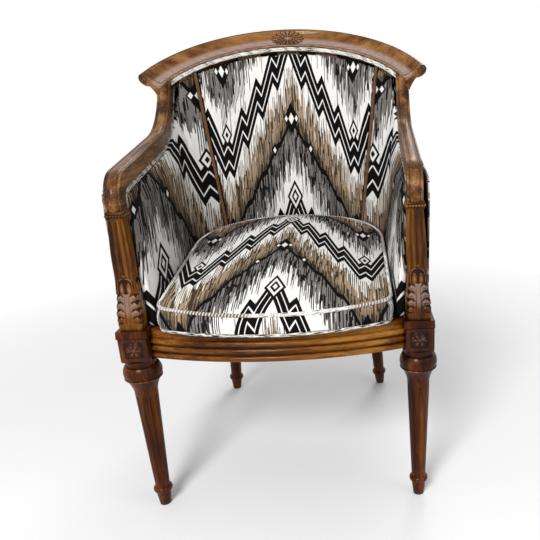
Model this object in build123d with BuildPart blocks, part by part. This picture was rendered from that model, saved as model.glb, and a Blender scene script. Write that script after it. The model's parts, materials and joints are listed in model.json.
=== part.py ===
"""Barrel-back armchair with a carved show-wood frame, tight upholstered tub and a loose seat cushion.

Millimetres. +X is the sitter's left (right in a front view), the front faces -Y and +Z is up.
The origin lies on the floor under the middle of the chair's box.
"""
import os
from collections import namedtuple
from math import asin, atan2, cos, degrees, radians, sin, sqrt, tan

from build123d import *

# Front legs and arm posts
leg_x = 242.0
leg_y = -256.0
block_size = 48.0
block_bottom = 304.0
block_height = 44.0
cap_size = 53.0
cap_height = 13.0
cap_taper = 4.0
glide_height = 5.0
glide_radius = 10.0
glide_round = 1.5
toe_radius = 10.5
ankle_radius = 17.3
ankle_height = 35.0
ankle_ring = 6.0
ankle_step = 2.0
neck_swell = 0.5
shaft_low_radius = 13.0
shaft_top_radius = 20.0
shaft_top_height = 242.0
bulb_radius = 33.0
bulb_drop = 34.0
bulb_neck_height = 12.0
bulb_neck_step = 8.0
bulb_collar_step = 5.5
bulb_cup_step = 9.0
flute_count = 10
flute_radius = 2.6
flute_proud = 0.6
flute_low_share = 0.62
flute_start = 22.0
flute_stop = 8.0

# Rear legs, which rake out and back below plain corner blocks
rear_block_size = 46.0
rear_block_turn = 32.0
rear_block_proud = 1.5
rear_foot_x = 190.0
rear_foot_y = 217.0
rear_top_radius = 21.0

# Seat rails
rail_top = 357.0
rail_thickness = 27.0
rail_moulding = 5.0
rail_bead_share = 0.86
front_rail_y = -301.0
front_rail_sag = 36.0

# Arm posts, collars and arm rails
post_top_x = 236.0
post_top_y = -266.0
post_top_height = 549.0
collar_height = 12.0
collar_width = 31.0
collar_depth = 34.0
collar_round = 2.0
collar_tiers = (2.0, 0.0, 2.5)
arm_width = 26.0
arm_depth = 30.0
arm_bead = 4.0
arm_bead_round = 2.6
arm_bead_drop = 2.0
arm_panel_share = 0.62
arm_panel_rise = 3.5
arm_toe_out = 2.0
knuckle_height = 604.0
knuckle_radius = 34.0
sweep_reach = 342.0
sweep_height = 657.0
sweep_radius = 190.0
stile_slope = 55.0
stile_length = 125.0

# Crest rail, a moulding turned about a tilted axis
crest_axis_y = 46.0
crest_axis_z = 695.5
crest_tilt = 26.8
crest_half_turn = 70.0
crest_edge_radius = 268.0
crest_edge_rise = 14.5
crest_flare = 29.2
crest_face = 41.0
crest_nose = 11.5
crest_foot = 32.0
crest_cove = 4.5
crest_cove_place = 0.52
crest_edge = 4.0
crest_hollow = 5.0
crest_hollow_start = 0.6
crest_clear = 130.0
crest_over_turn = 15.0
rosette_half_width = 38.0
rosette_half_height = 19.0
rosette_proud = 0.6
rosette_bed_depth = 3.0
rosette_bed_turn = 20.0
button_height = 8.0
petal_count = 16
petal_place = 0.62
petal_half_width = 0.19
button_taper = 20.0

# Plan of the tub: inside face and outside face, low and high
Plan = namedtuple("Plan", "half_width back back_radius corner_radius")
tub_low = 335.0
tub_high = 850.0
inside_low = Plan(200.0, 195.0, 230.0, 170.0)
inside_high = Plan(250.0, 286.0, 322.0, 105.0)
outside_low = Plan(260.0, 247.0, 338.0, 148.0)
outside_high = Plan(264.0, 308.5, 326.0, 120.0)
pad_low = 24.0
pad_high = 7.0
panel_thickness = 3.0
wall_lap = 4.0
seat_plan = Plan(262.0, 249.0, 340.0, 150.0)

# Seams, welts and the pieces hidden in the wall
seam_low = 143.0
seam_high = 208.0
seam_gap = 6.0
welt_radius = 3.2
gimp_width = 8.0
gimp_height = 9.0
stile_inner_edge = 8.0
stile_outer_edge = 34.0
stuffing_rail_low = 400.0
stuffing_rail_height = 26.0
web_width = 50.0
web_thickness = 1.6
web_pitch = 88.0

# Seat deck
wire_radius = 1.8
spring_level = 336.0
spring_pitch = 24.0
spring_half_width = 18.0
spring_count = 4
spring_spacing = 66.0
clip_width = 24.0
clip_reach = 9.0
clip_height = 9.0
burlap_thickness = 1.2
deck_cover_thickness = 1.2
brace_reach = 62.0
brace_thickness = 24.0
brace_setback = 18.0
brace_low = 307.0
brace_height = 24.0
screw_radius = 2.2
screw_head_radius = 4.2
screw_length = 34.0
dowel_radius = 4.5
dowel_length = 40.0
dowel_rise = 15.0
dust_cover_thickness = 1.0
dust_room = 3.0

# Loose cushion
cushion_front = -320.6
cushion_corner_y = -276.0
cushion_side_room = 4.5
cushion_rise = 7.0
cushion_front_height = 36.0
cushion_crown = 15.0
cushion_shoulder = 115.0
crown_steps = 6
cushion_corner_round = 24.0
cushion_skin = 4.0
cushion_bulge = 4.5
cushion_edge = 2.0
boxing_steps = 6

# Clearances
slip = 0.3

cap_bottom = block_bottom + block_height
cap_top = cap_bottom + cap_height
rail_bottom = block_bottom
collar_top = post_top_height + collar_height
wall_front = post_top_y + collar_depth / 2 - wall_lap
arm_over = 1.75 * arm_depth
reach = outside_high.back + crest_clear

os.makedirs("parts", exist_ok=True)


def save(builder, name):
    """Label a finished piece and write it out."""
    builder.part.label = name
    export_step(builder.part, f"parts/{name}.step")


def both_sides(name, right):
    """Write a right-hand piece and its mirror image, and give both parts back."""
    save(right, f"right_{name}")
    with BuildPart() as left:
        mirror(right.part, about=Plane.YZ)
    save(left, f"left_{name}")
    return left.part, right.part


def cut(*parts):
    """Take neighbouring pieces out of the piece being built, so that they meet face to face."""
    for part in parts:
        add(part, mode=Mode.SUBTRACT)


def grown(plan, by):
    """The plan line moved outward by a distance."""
    return Plan(*(value + by for value in plan))


def between(low, high, height):
    """The plan line of the tub at a height."""
    share = (height - tub_low) / (tub_high - tub_low)
    return Plan(*(a + share * (b - a) for a, b in zip(low, high)))


def plan_line(plan, front):
    """Draw one U-shaped plan line: straight sides, two corner arcs and a flatter back arc."""
    corner_x = plan.half_width - plan.corner_radius
    back_centre = plan.back - plan.back_radius
    corner_y = back_centre + sqrt((plan.back_radius - plan.corner_radius) ** 2 - corner_x**2)
    join = atan2(corner_x, corner_y - back_centre)
    middle = (join + radians(90)) / 2
    side = (plan.half_width, corner_y)
    bend = (corner_x + plan.corner_radius * sin(middle), corner_y + plan.corner_radius * cos(middle))
    meet = (plan.back_radius * sin(join), back_centre + plan.back_radius * cos(join))
    Line((plan.half_width, front), side)
    ThreePointArc(side, bend, meet)
    ThreePointArc(meet, (0, plan.back), (-meet[0], meet[1]))
    ThreePointArc((-meet[0], meet[1]), (-bend[0], bend[1]), (-side[0], side[1]))
    Line((-side[0], side[1]), (-plan.half_width, front))


def plan_band(level, inner, outer, front):
    """The face between two plan lines at a level."""
    with BuildSketch(Plane.XY.offset(level)) as band:
        with BuildLine():
            plan_line(inner, front)
            plan_line(outer, front)
            Line((inner.half_width, front), (outer.half_width, front))
            Line((-inner.half_width, front), (-outer.half_width, front))
        make_face()
    return band.sketch


def tub_wall(inner_low, inner_high, outer_low, outer_high):
    """A raked wall between two plan lines low down and two higher up."""
    low = plan_band(tub_low, inner_low, outer_low, wall_front)
    high = plan_band(tub_high, inner_high, outer_high, wall_front)
    loft([low, high], ruled=True)


def slab(low_left, low_right, high_left, high_right, mode=Mode.INTERSECT):
    """Keep or cut what lies between two slanting lines of the front view, right through the chair."""
    corners = [(low_left, tub_low), (low_right, tub_low), (high_right, tub_high), (high_left, tub_high)]
    with BuildSketch(Plane.XZ) as front_view:
        with BuildLine():
            Polyline(*corners, close=True)
        make_face()
    extrude(front_view.sketch, amount=reach, both=True, mode=mode)


def level_slice(low, high):
    """Keep what lies between two heights."""
    with BuildSketch(Plane.XY.offset(low)) as floor:
        Rectangle(2 * reach, 2 * reach)
    extrude(floor.sketch, amount=high - low, mode=Mode.INTERSECT)


# Front legs: square block with cap above, turned and fluted leg below
def turned_profile(top_radius, top_height):
    """Toe, ankle ring and tapered shaft of a turned leg, drawn as radius against height."""
    neck = shaft_low_radius + neck_swell
    ring_low = ankle_height - ankle_ring
    ring_high = ankle_height + ankle_ring
    Polyline((0, glide_height), (toe_radius, glide_height), (neck, ring_low))
    ThreePointArc((neck, ring_low), (ankle_radius, ankle_height), (neck, ring_high))
    Polyline((neck, ring_high), (shaft_low_radius, ring_high + ankle_step), (top_radius, top_height))


def flutes(base, top_radius, low, high):
    """Cut the flutes that run up a tapered shaft."""
    taper = (top_radius - shaft_low_radius) / (shaft_top_height - ankle_height)
    for turn in range(flute_count):
        spoke = base.rotated((0, 0, 360 / flute_count * (turn + 0.5)))
        ends = []
        for height, share in ((low, flute_low_share), (high, 1.0)):
            radius = shaft_low_radius + taper * (height - ankle_height)
            with BuildSketch(spoke.offset(height)) as end:
                with Locations((radius + flute_proud, 0)):
                    Circle(flute_radius * share)
            ends.append(end.sketch)
        loft(ends, mode=Mode.SUBTRACT)


leg_axis = Plane((leg_x, leg_y, 0))
with BuildPart() as front_leg:
    with BuildSketch(Plane(leg_axis.origin, x_dir=(1, 0, 0), z_dir=(0, -1, 0))):
        with BuildLine():
            turned_profile(shaft_top_radius, shaft_top_height)
            bulb_low = block_bottom - bulb_drop
            bulb_high = block_bottom - bulb_neck_height
            bulb_middle = (bulb_low + bulb_high) / 2
            cup_middle = (shaft_top_height + bulb_low) / 2
            bulb_edge = bulb_radius - ankle_step
            bulb_shoulder = bulb_radius - bulb_neck_step / 2
            neck_radius = bulb_radius - bulb_neck_step
            collar_radius = bulb_radius - bulb_collar_step
            neck_middle = (bulb_high + block_bottom) / 2
            cup_foot = (shaft_top_radius, shaft_top_height)
            cup_rim = (bulb_edge, bulb_low - ankle_step)
            ThreePointArc(cup_foot, (bulb_radius - bulb_cup_step, cup_middle), cup_rim)
            Polyline(cup_rim, (bulb_edge - neck_swell, bulb_low - neck_swell), (bulb_edge, bulb_low))
            ThreePointArc((bulb_edge, bulb_low), (bulb_radius, bulb_middle), (bulb_shoulder, bulb_high))
            Polyline(
                (bulb_shoulder, bulb_high),
                (neck_radius, bulb_high + neck_swell),
                (neck_radius, neck_middle),
                (collar_radius, neck_middle + neck_swell),
                (collar_radius, block_bottom),
                (0, block_bottom),
                (0, glide_height),
            )
        make_face()
    revolve(axis=Axis(leg_axis.origin, (0, 0, 1)))
    flutes(leg_axis, shaft_top_radius, ankle_height + flute_start, shaft_top_height - flute_stop)
    with BuildSketch(leg_axis.offset(block_bottom)):
        Rectangle(block_size, block_size)
    extrude(amount=block_height)
    with BuildSketch(leg_axis.offset(cap_bottom)):
        Rectangle(cap_size, cap_size)
    extrude(amount=cap_height, taper=cap_taper)

with BuildPart() as front_leg_mirrored:
    mirror(front_leg.part, about=Plane.YZ)
front_legs = (front_leg.part, front_leg_mirrored.part)

# Rear legs: square corner block on the rail line, raked turned leg below
rear_spoke = seat_plan.back_radius + rear_block_proud - rear_block_size / 2
rear_centre = seat_plan.back - seat_plan.back_radius
rear_block_x = rear_spoke * sin(radians(rear_block_turn))
rear_block_y = rear_centre + rear_spoke * cos(radians(rear_block_turn))
rear_foot = Vector(rear_foot_x, rear_foot_y, 0)
rear_rake = Vector(rear_block_x, rear_block_y, block_bottom) - rear_foot
rear_axis = Plane(rear_foot, x_dir=(0, -1, 0), z_dir=rear_rake)
rear_block = Plane((rear_block_x, rear_block_y, block_bottom)).rotated((0, 0, -rear_block_turn))
with BuildPart() as rear_leg:
    with BuildSketch(Plane(rear_foot, x_dir=rear_axis.x_dir, z_dir=-rear_axis.y_dir)):
        with BuildLine():
            over_height = rear_rake.length + rear_top_radius
            turned_profile(rear_top_radius, over_height)
            Polyline((rear_top_radius, over_height), (0, over_height), (0, glide_height))
        make_face()
    revolve(axis=Axis(rear_foot, rear_rake))
    flutes(rear_axis, shaft_top_radius, ankle_height + flute_start, shaft_top_height - flute_stop)
    level_slice(glide_height, block_bottom)
    with BuildSketch(rear_block):
        Rectangle(rear_block_size, rear_block_size)
    extrude(amount=rail_top - block_bottom)

# Glides nailed under the four feet
rear_toe = rear_foot + rear_rake * (glide_height / rear_rake.Z)
foot_points = [(leg_x, leg_y), (rear_toe.X, rear_toe.Y)]
with BuildPart() as foot_glides:
    for foot_x, foot_y in foot_points:
        for side in (-1, 1):
            with BuildSketch():
                with Locations((side * foot_x, foot_y)):
                    Circle(glide_radius)
            extrude(amount=glide_height)
    fillet(foot_glides.edges().group_by(Axis.Z)[0], glide_round)
save(foot_glides, "foot_glides")


# Arm posts, set back and drawn in from the cap up to a square collar
def post_section(height, width, depth, share):
    """One level of the arm post, with its centre moved from the leg block towards the post's top."""
    centre = (leg_x + share * (post_top_x - leg_x), leg_y + share * (post_top_y - leg_y), height)
    with BuildSketch(Plane(centre)) as level:
        RectangleRounded(width, depth, width / 8)
    return level.sketch


post_base = (0.0, 40.0, 42.0)
post_swell = (0.13, 43.0, 46.0)
post_throat = (0.3, 36.0, 38.0)
post_waist = (0.46, 32.0, 34.0)
post_shaft = (0.68, 32.0, 33.0)
post_neck = (1.0, arm_width, arm_depth - 1)
post_levels = (post_base, post_swell, post_throat, post_waist, post_shaft, post_neck)
with BuildPart() as arm_post:
    post_rise = post_top_height - cap_top
    post_sections = []
    for share, width, depth in post_levels:
        post_sections.append(post_section(cap_top + share * post_rise, width, depth, share))
    loft(post_sections)
    post_top = Plane((post_top_x, post_top_y, post_top_height))
    collar_step = collar_height / 3
    for tier, drawn_in in enumerate(collar_tiers):
        with BuildSketch(post_top.offset(tier * collar_step)):
            RectangleRounded(collar_width - drawn_in, collar_depth - drawn_in, collar_round)
        extrude(amount=collar_step)

# Arm rails: up from the collar, over the knuckle, back along the arm and up to the crest
toe_out = radians(arm_toe_out)
arm_outward = Vector(cos(toe_out), -sin(toe_out), 0)
arm_plane = Plane((post_top_x, post_top_y, 0), x_dir=(sin(toe_out), cos(toe_out), 0), z_dir=arm_outward)
stile_end = (
    sweep_reach + stile_length * cos(radians(stile_slope)),
    sweep_height + stile_length * sin(radians(stile_slope)),
)
arm_corners = [(0, collar_top), (0, knuckle_height), (sweep_reach, sweep_height), stile_end]
arm_radii = [knuckle_radius, sweep_radius]
with BuildLine(arm_plane) as arm_path:
    FilletPolyline(*arm_corners, radius=arm_radii)
arm_start = Plane((post_top_x, post_top_y, collar_top), x_dir=arm_outward, z_dir=(0, 0, 1))
arm_path_wire = arm_path.wires()[0]


def arm_outline():
    """Section of the arm: two edge beads with a raised, rounded panel between them."""
    half = arm_width / 2
    face = -arm_depth / 2
    panel = half * arm_panel_share
    bead = half - arm_bead_round
    crown = half - arm_bead_round / 3
    low = face + arm_bead
    high = face + arm_bead_drop
    sunk = face + arm_panel_rise
    Line((half, -face), (half, low))
    ThreePointArc((half, low), (crown, high + slip), (bead, high))
    Line((bead, high), (panel, sunk))
    ThreePointArc((panel, sunk), (0, face), (-panel, sunk))
    Line((-panel, sunk), (-bead, high))
    ThreePointArc((-bead, high), (-crown, high + slip), (-half, low))
    Polyline((-half, low), (-half, -face), (half, -face))


with BuildPart() as arm_rail:
    with BuildSketch(arm_start):
        with BuildLine():
            arm_outline()
        make_face()
    sweep(path=arm_path_wire)


def arm_clearing(under):
    """Everything beside and above the arm down to a level below its path."""
    with BuildSketch(arm_start) as section:
        with Locations((0, (under - arm_over) / 2)):
            Rectangle(arm_width * 3, arm_over + under)
    sweep(section.sketch, path=arm_path_wire)


# Crest rail: cove-fronted moulding rolled over at the top and cut off in two ears
crest_lean = radians(crest_tilt)
crest_origin = Vector(0, crest_axis_y, crest_axis_z)
crest_along = Vector(0, -sin(crest_lean), cos(crest_lean))
crest_axis = Axis(crest_origin, crest_along)
crest_middle = Plane(crest_origin, x_dir=(0, cos(crest_lean), sin(crest_lean)), z_dir=(1, 0, 0))


def crest_plane(turn):
    """The section plane of the crest at a turn from the middle towards the right ear."""
    outward = crest_middle.x_dir * cos(radians(turn)) + Vector(1, 0, 0) * sin(radians(turn))
    return Plane(crest_origin, x_dir=outward, z_dir=outward.cross(crest_along))


def crest_point(along, out):
    """A point of the crest's section: along its face from the lower edge, and out of its face."""
    flare = radians(crest_flare)
    return (
        crest_edge_radius + along * cos(flare) - out * sin(flare),
        crest_edge_rise + along * sin(flare) + out * cos(flare),
    )


def crest_outline(foot):
    """Section of the crest: fillet, cove, rolled nose, hollow back and the foot that sits on the stiles."""
    behind = -2 * crest_nose
    edge = crest_point(crest_edge, 0)
    brow = crest_point(crest_face, 0)
    nape = crest_point(crest_face, behind)
    hollow = crest_point(crest_face * crest_hollow_start, behind + crest_hollow)
    Line(crest_point(0, 0), edge)
    ThreePointArc(edge, crest_point(crest_face * crest_cove_place, -crest_cove), brow)
    ThreePointArc(brow, crest_point(crest_face + crest_nose, -crest_nose), nape)
    ThreePointArc(nape, crest_point(crest_face * (crest_hollow_start + 1) / 2, behind + slip), hollow)
    ThreePointArc(hollow, crest_point(crest_face * crest_hollow_start / 2, behind), crest_point(0, -foot))
    Line(crest_point(0, -foot), crest_point(0, 0))


with BuildPart() as crest_rail:
    with BuildSketch(crest_plane(crest_half_turn)):
        with BuildLine():
            crest_outline(crest_foot)
        make_face()
    revolve(axis=crest_axis, revolution_arc=2 * crest_half_turn)
save(crest_rail, "crest_rail")


def crest_ring(low, high, front, rear, half_turn):
    """A ring that follows the crest between two levels of its face."""
    limits = ((low, front), (low, rear), (high, rear), (high, front))
    corners = [crest_point(along, out) for along, out in limits]
    with BuildSketch(crest_plane(half_turn)) as section:
        with BuildLine():
            Polyline(*corners, close=True)
        make_face()
    revolve(section.sketch, axis=crest_axis, revolution_arc=2 * half_turn)


def below_crest(drop):
    """Room for the crest: everything above a level that lies a drop below its foot."""
    with BuildPart() as room:
        crest_ring(-drop, crest_clear, crest_clear, -crest_clear, crest_half_turn + crest_over_turn)
    return room.part


# Rosette carved as a separate boss and glued to the middle of the crest
rosette_seat = crest_face * crest_cove_place
rosette_foot = crest_point(rosette_seat, -crest_cove)
rosette_plane = Plane(
    crest_middle.from_local_coords(Vector(rosette_foot[0], rosette_foot[1], 0)),
    x_dir=(1, 0, 0),
    z_dir=crest_along * cos(radians(crest_flare)) - crest_middle.x_dir * sin(radians(crest_flare)),
)


def rosette_reach(turn):
    """Distance from the rosette's middle to its oval edge."""
    return 1 / sqrt((cos(turn) / rosette_half_width) ** 2 + (sin(turn) / rosette_half_height) ** 2)


with BuildPart() as rosette_bed:
    crest_ring(0, crest_face, rosette_proud, -crest_cove - rosette_bed_depth, rosette_bed_turn)
with BuildPart() as rosette_carving:
    with BuildSketch(rosette_plane.offset(-crest_cove)):
        for petal in range(petal_count):
            turn = radians(360 * petal / petal_count)
            length = rosette_reach(turn)
            middle = length * petal_place
            with Locations(Location((middle * cos(turn), middle * sin(turn), 0), (0, 0, degrees(turn)))):
                Ellipse(length - middle, rosette_half_height * petal_half_width)
        Ellipse(rosette_half_width * petal_place, rosette_half_height * petal_place)
    extrude(amount=4 * crest_cove)
    add(rosette_bed.part, mode=Mode.INTERSECT)
    with BuildSketch(rosette_plane):
        Circle(rosette_half_height * petal_place / 2)
    extrude(amount=button_height, taper=button_taper)
    cut(crest_rail.part)
with BuildPart() as crest_rosette:
    add(rosette_carving.part.moved(Location(rosette_plane.z_dir * slip)))
save(crest_rosette, "crest_rosette")


# Dowels that join rails, posts and arms
dowel_levels = (rail_bottom + dowel_rise, rail_bottom + 2 * dowel_rise)
rail_end_x = leg_x - block_size / 2
rail_end_y = leg_y + block_size / 2
front_radius = (rail_end_x**2 + front_rail_sag**2) / (2 * front_rail_sag)
front_centre_y = front_rail_y + front_radius
rail_end_face = front_centre_y - sqrt(front_radius**2 - rail_end_x**2)


def pin(point, direction, length, radius, mode=Mode.ADD):
    """A round pin, or a hole for one, centred on a point."""
    start = Vector(point) - Vector(direction).normalized() * (length / 2)
    with BuildSketch(Plane(start, z_dir=direction)) as end:
        Circle(radius)
    extrude(end.sketch, amount=length, mode=mode)


with BuildPart() as rail_dowels:
    for level in dowel_levels:
        for side in (-1, 1):
            front_joint = (side * rail_end_x, rail_end_face + rail_thickness / 2, level)
            pin(front_joint, (1, 0, 0), dowel_length, dowel_radius)
            side_rail_x = side * (seat_plan.half_width - rail_thickness / 2)
            pin((side_rail_x, rail_end_y, level), (0, 1, 0), dowel_length, dowel_radius)
save(rail_dowels, "rail_dowels")
with BuildPart() as post_dowels:
    for side in (-1, 1):
        pin((side * leg_x, leg_y, cap_top), (0, 0, 1), dowel_length, dowel_radius)
save(post_dowels, "post_dowels")
with BuildPart() as arm_dowels:
    for side in (-1, 1):
        pin((side * post_top_x, post_top_y, collar_top), (0, 0, 1), dowel_length, dowel_radius)
save(arm_dowels, "arm_dowels")


# Seat rails: one moulded section, bowed in front and bent round the sides and back
def rail_outline(plane):
    """Section of a seat rail: three beads and a top fillet on the outside, plain inside."""
    height = rail_top - rail_bottom
    groove = -rail_moulding
    bead = height / 4
    lip = groove / 2
    with BuildSketch(plane) as section:
        with BuildLine():
            Polyline((-rail_thickness, 0), (groove, 0))
            for step in range(3):
                low = step * bead
                bead_end = low + bead * rail_bead_share
                ThreePointArc((groove, low), (0, (low + bead_end) / 2), (groove, bead_end))
                Line((groove, bead_end), (groove, low + bead))
            ThreePointArc((groove, 3 * bead), (groove / 2 + lip / 2 - 1, 3.5 * bead), (lip, height))
            Polyline((lip, height), (-rail_thickness, height), (-rail_thickness, 0))
        make_face()
    return section.sketch


with BuildPart() as front_seat_rail:
    front_section = rail_outline(Plane((0, front_rail_y, rail_bottom), x_dir=(0, -1, 0), z_dir=(-1, 0, 0)))
    revolve(
        front_section,
        axis=Axis((0, front_centre_y, 0), (0, 0, 1)),
        revolution_arc=degrees(asin(leg_x / front_radius)),
    )
    mirror(about=Plane.YZ)
    with BuildSketch(Plane.XY.offset(rail_bottom)):
        Rectangle(2 * rail_end_x, 4 * reach)
    extrude(amount=rail_top - rail_bottom, mode=Mode.INTERSECT)
    cut(rail_dowels.part, *front_legs)
save(front_seat_rail, "front_seat_rail")

with BuildLine(Plane.XY.offset(rail_bottom)) as rail_line:
    plan_line(seat_plan, rail_end_y)
with BuildPart() as rear_blocks:
    with BuildSketch(rear_block):
        Rectangle(rear_block_size, rear_block_size)
    extrude(amount=rail_top - block_bottom)
    mirror(about=Plane.YZ)
with BuildPart() as seat_rails:
    rail_start = Plane((seat_plan.half_width, rail_end_y, rail_bottom), x_dir=(1, 0, 0), z_dir=(0, -1, 0))
    sweep(rail_outline(rail_start), path=rail_line.wires()[0])
    cut(rear_blocks.part, rail_dowels.part, *front_legs)
rail_names = ("left_seat_rail", "back_seat_rail", "right_seat_rail")
for rail_name, rail_solid in zip(rail_names, seat_rails.solids().sort_by(Axis.X)):
    with BuildPart() as seat_rail:
        add(rail_solid)
    save(seat_rail, rail_name)

# Corner braces: a bar across each front corner, a notched block at each rear leg, and a screw in each
corner_in = seat_plan.half_width - rail_thickness
front_inside = front_radius - rail_thickness
brace_middle = Vector(rail_end_x - brace_setback, rail_end_y + brace_setback, brace_low)
rear_normal = Vector(sin(radians(rear_block_turn)), cos(radians(rear_block_turn)), 0)
rear_block_face = Vector(rear_block_x, rear_block_y, brace_low) - rear_normal * (rear_block_size / 2)
rear_brace_depth = rail_thickness + brace_thickness
rear_brace_middle = rear_block_face + rear_normal * (rear_brace_depth / 2 - brace_thickness)


def brace_screw(start, direction):
    """A flat-headed screw driven from a point."""
    with BuildSketch(Plane(start, z_dir=direction)) as head:
        Circle(screw_head_radius)
    extrude(head.sketch, amount=screw_head_radius / 2)
    with BuildSketch(Plane(start, z_dir=direction)) as shank:
        Circle(screw_radius)
    extrude(shank.sketch, amount=screw_length)


diagonal = Vector(1, -1, 0).normalized()
brace_half_height = Vector(0, 0, brace_height / 2)
with BuildPart() as brace_screws:
    brace_screw(brace_middle - diagonal * (brace_thickness / 2) + brace_half_height, diagonal)
    brace_screw(rear_block_face - rear_normal * brace_thickness + brace_half_height, rear_normal)
    mirror(about=Plane.YZ)
save(brace_screws, "brace_screws")

with BuildPart() as corner_braces:
    with BuildSketch(Plane(brace_middle).rotated((0, 0, 45))):
        Rectangle(2 * brace_reach, brace_thickness)
    extrude(amount=brace_height)
    with BuildSketch(Plane(rear_brace_middle).rotated((0, 0, -rear_block_turn))):
        Rectangle(rear_block_size + 2 * brace_thickness, rear_brace_depth)
    extrude(amount=brace_height)
    mirror(about=Plane.YZ)
    with BuildSketch(Plane.XY.offset(brace_low)):
        with BuildLine():
            plan_line(grown(seat_plan, -rail_thickness), front_rail_y)
            Line((-corner_in, front_rail_y), (corner_in, front_rail_y))
        make_face()
        with Locations((0, front_centre_y)):
            Circle(front_inside, mode=Mode.INTERSECT)
    extrude(amount=brace_height, mode=Mode.INTERSECT)
    cut(rear_blocks.part, brace_screws.part, *front_legs)
save(corner_braces, "corner_braces")

with BuildPart() as front_leg_joined:
    add(front_leg.part)
    cut(rail_dowels.part, post_dowels.part, brace_screws.part)
left_front_leg, right_front_leg = both_sides("front_leg", front_leg_joined)
with BuildPart() as rear_leg_joined:
    add(rear_leg.part)
    cut(brace_screws.part)
left_rear_leg, right_rear_leg = both_sides("rear_leg", rear_leg_joined)

with BuildPart() as arm_post_joined:
    add(arm_post.part)
    cut(post_dowels.part, arm_dowels.part)
left_arm_post, right_arm_post = both_sides("arm_post", arm_post_joined)

crest_room = below_crest(0)
with BuildPart() as arm_rail_joined:
    add(arm_rail.part)
    cut(crest_room, arm_dowels.part)
left_arm_rail, right_arm_rail = both_sides("arm_rail", arm_rail_joined)
posts = (left_arm_post, right_arm_post)
legs = (left_front_leg, right_front_leg)


# Tub wall: everything from the rails up to the arms and the crest
def arm_room(under):
    """Room for both arms and for what lies above them."""
    with BuildPart() as room:
        arm_clearing(under)
        mirror(about=Plane.YZ)
    return room.part


wall_base = rail_top + slip
arm_slope = (sweep_height - knuckle_height) / sweep_reach
arm_back = cos(toe_out)
side_corners = [
    (wall_front, wall_base),
    (wall_front, knuckle_height + arm_slope * (wall_front - post_top_y)),
    (post_top_y + sweep_reach * arm_back, sweep_height),
    (post_top_y + stile_end[0] * arm_back, stile_end[1]),
]
with BuildPart() as wall_side:
    with BuildSketch(Plane.YZ):
        with BuildLine():
            FilletPolyline(*side_corners, radius=[slip, sweep_radius])
            wall_rear = [(side_corners[3][0], tub_high), (reach, tub_high), (reach, wall_base)]
            Polyline(side_corners[3], *wall_rear, side_corners[0])
        make_face()
    extrude(amount=reach, both=True)

gimp_room = gimp_height + 2 * slip
pad_limits = (arm_room(arm_depth / 2 + gimp_room), below_crest(gimp_room)) + posts + legs
panel_limits = (arm_room(arm_depth / 2 + slip), below_crest(slip)) + posts + legs

# Inside pads, parted along the two slanting seams
with BuildPart() as inside_wall:
    tub_wall(inside_low, inside_high, grown(inside_low, pad_low), grown(inside_high, pad_high))
    add(wall_side.part, mode=Mode.INTERSECT)
    cut(*pad_limits)
seam_half = seam_gap / 2
with BuildPart() as inside_back_pad:
    add(inside_wall.part)
    slab(seam_half - seam_low, seam_low - seam_half, seam_half - seam_high, seam_high - seam_half)
save(inside_back_pad, "inside_back_pad")
with BuildPart() as inside_arm_pad:
    add(inside_wall.part)
    slab(seam_low + seam_half, reach, seam_high + seam_half, reach)
both_sides("inside_arm_pad", inside_arm_pad)

# Seam welts between the pads
seam_inset = seam_half - slip
with BuildPart() as seam_welt:
    tub_wall(grown(inside_low, -welt_radius), grown(inside_high, -welt_radius),
             grown(inside_low, pad_low / 2), grown(inside_high, pad_high / 2))
    add(wall_side.part, mode=Mode.INTERSECT)
    slab(seam_low - seam_inset, seam_low + seam_inset, seam_high - seam_inset, seam_high + seam_inset)
    cut(*pad_limits)
both_sides("seam_welt", seam_welt)

# Double welt along the wood: under each arm and under the crest
with BuildPart() as arm_gimp:
    with BuildSketch(arm_start):
        with Locations(((gimp_width - arm_width) / 2, arm_depth / 2 + slip + gimp_height / 2)):
            RectangleRounded(gimp_width, gimp_height, gimp_width / 4)
    sweep(path=arm_path_wire)
    cut(crest_room, arm_post.part)
left_arm_gimp, right_arm_gimp = both_sides("arm_gimp", arm_gimp)
with BuildPart() as crest_gimp:
    crest_ring(-slip - gimp_height, -slip, 0, -gimp_width, crest_half_turn)
    cut(arm_room(arm_depth / 2 + gimp_room))
save(crest_gimp, "crest_gimp")

# Outside panels, parted behind the rear legs
outside_seam = rear_block_x
with BuildPart() as outside_wall:
    tub_wall(grown(outside_low, -panel_thickness), grown(outside_high, -panel_thickness),
             outside_low, outside_high)
    add(wall_side.part, mode=Mode.INTERSECT)
    cut(*panel_limits)
with BuildPart() as outside_back_panel:
    add(outside_wall.part)
    slab(slip - outside_seam, outside_seam - slip, slip - outside_seam, outside_seam - slip)
save(outside_back_panel, "outside_back_panel")
with BuildPart() as outside_arm_panel:
    add(outside_wall.part)
    slab(outside_seam + slip, reach, outside_seam + slip, reach)
both_sides("outside_arm_panel", outside_arm_panel)

# Hidden frame in the wall: webbing behind the back pad, two stiles and the stuffing rails
web_front = 2 * slip
frame_front = web_front + web_thickness + slip
with BuildPart() as web_wall:
    tub_wall(grown(inside_low, pad_low + web_front), grown(inside_high, pad_high + web_front),
             grown(inside_low, pad_low + web_front + web_thickness),
             grown(inside_high, pad_high + web_front + web_thickness))
    add(wall_side.part, mode=Mode.INTERSECT)
    cut(*panel_limits)
with BuildPart() as back_webbing:
    for place in (-1, 0, 1):
        with BuildSketch(Plane.XZ):
            with Locations((place * web_pitch, (tub_low + tub_high) / 2)):
                Rectangle(web_width, tub_high - tub_low)
        extrude(amount=reach, both=True)
    add(web_wall.part, mode=Mode.INTERSECT)
save(back_webbing, "back_webbing")

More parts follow.
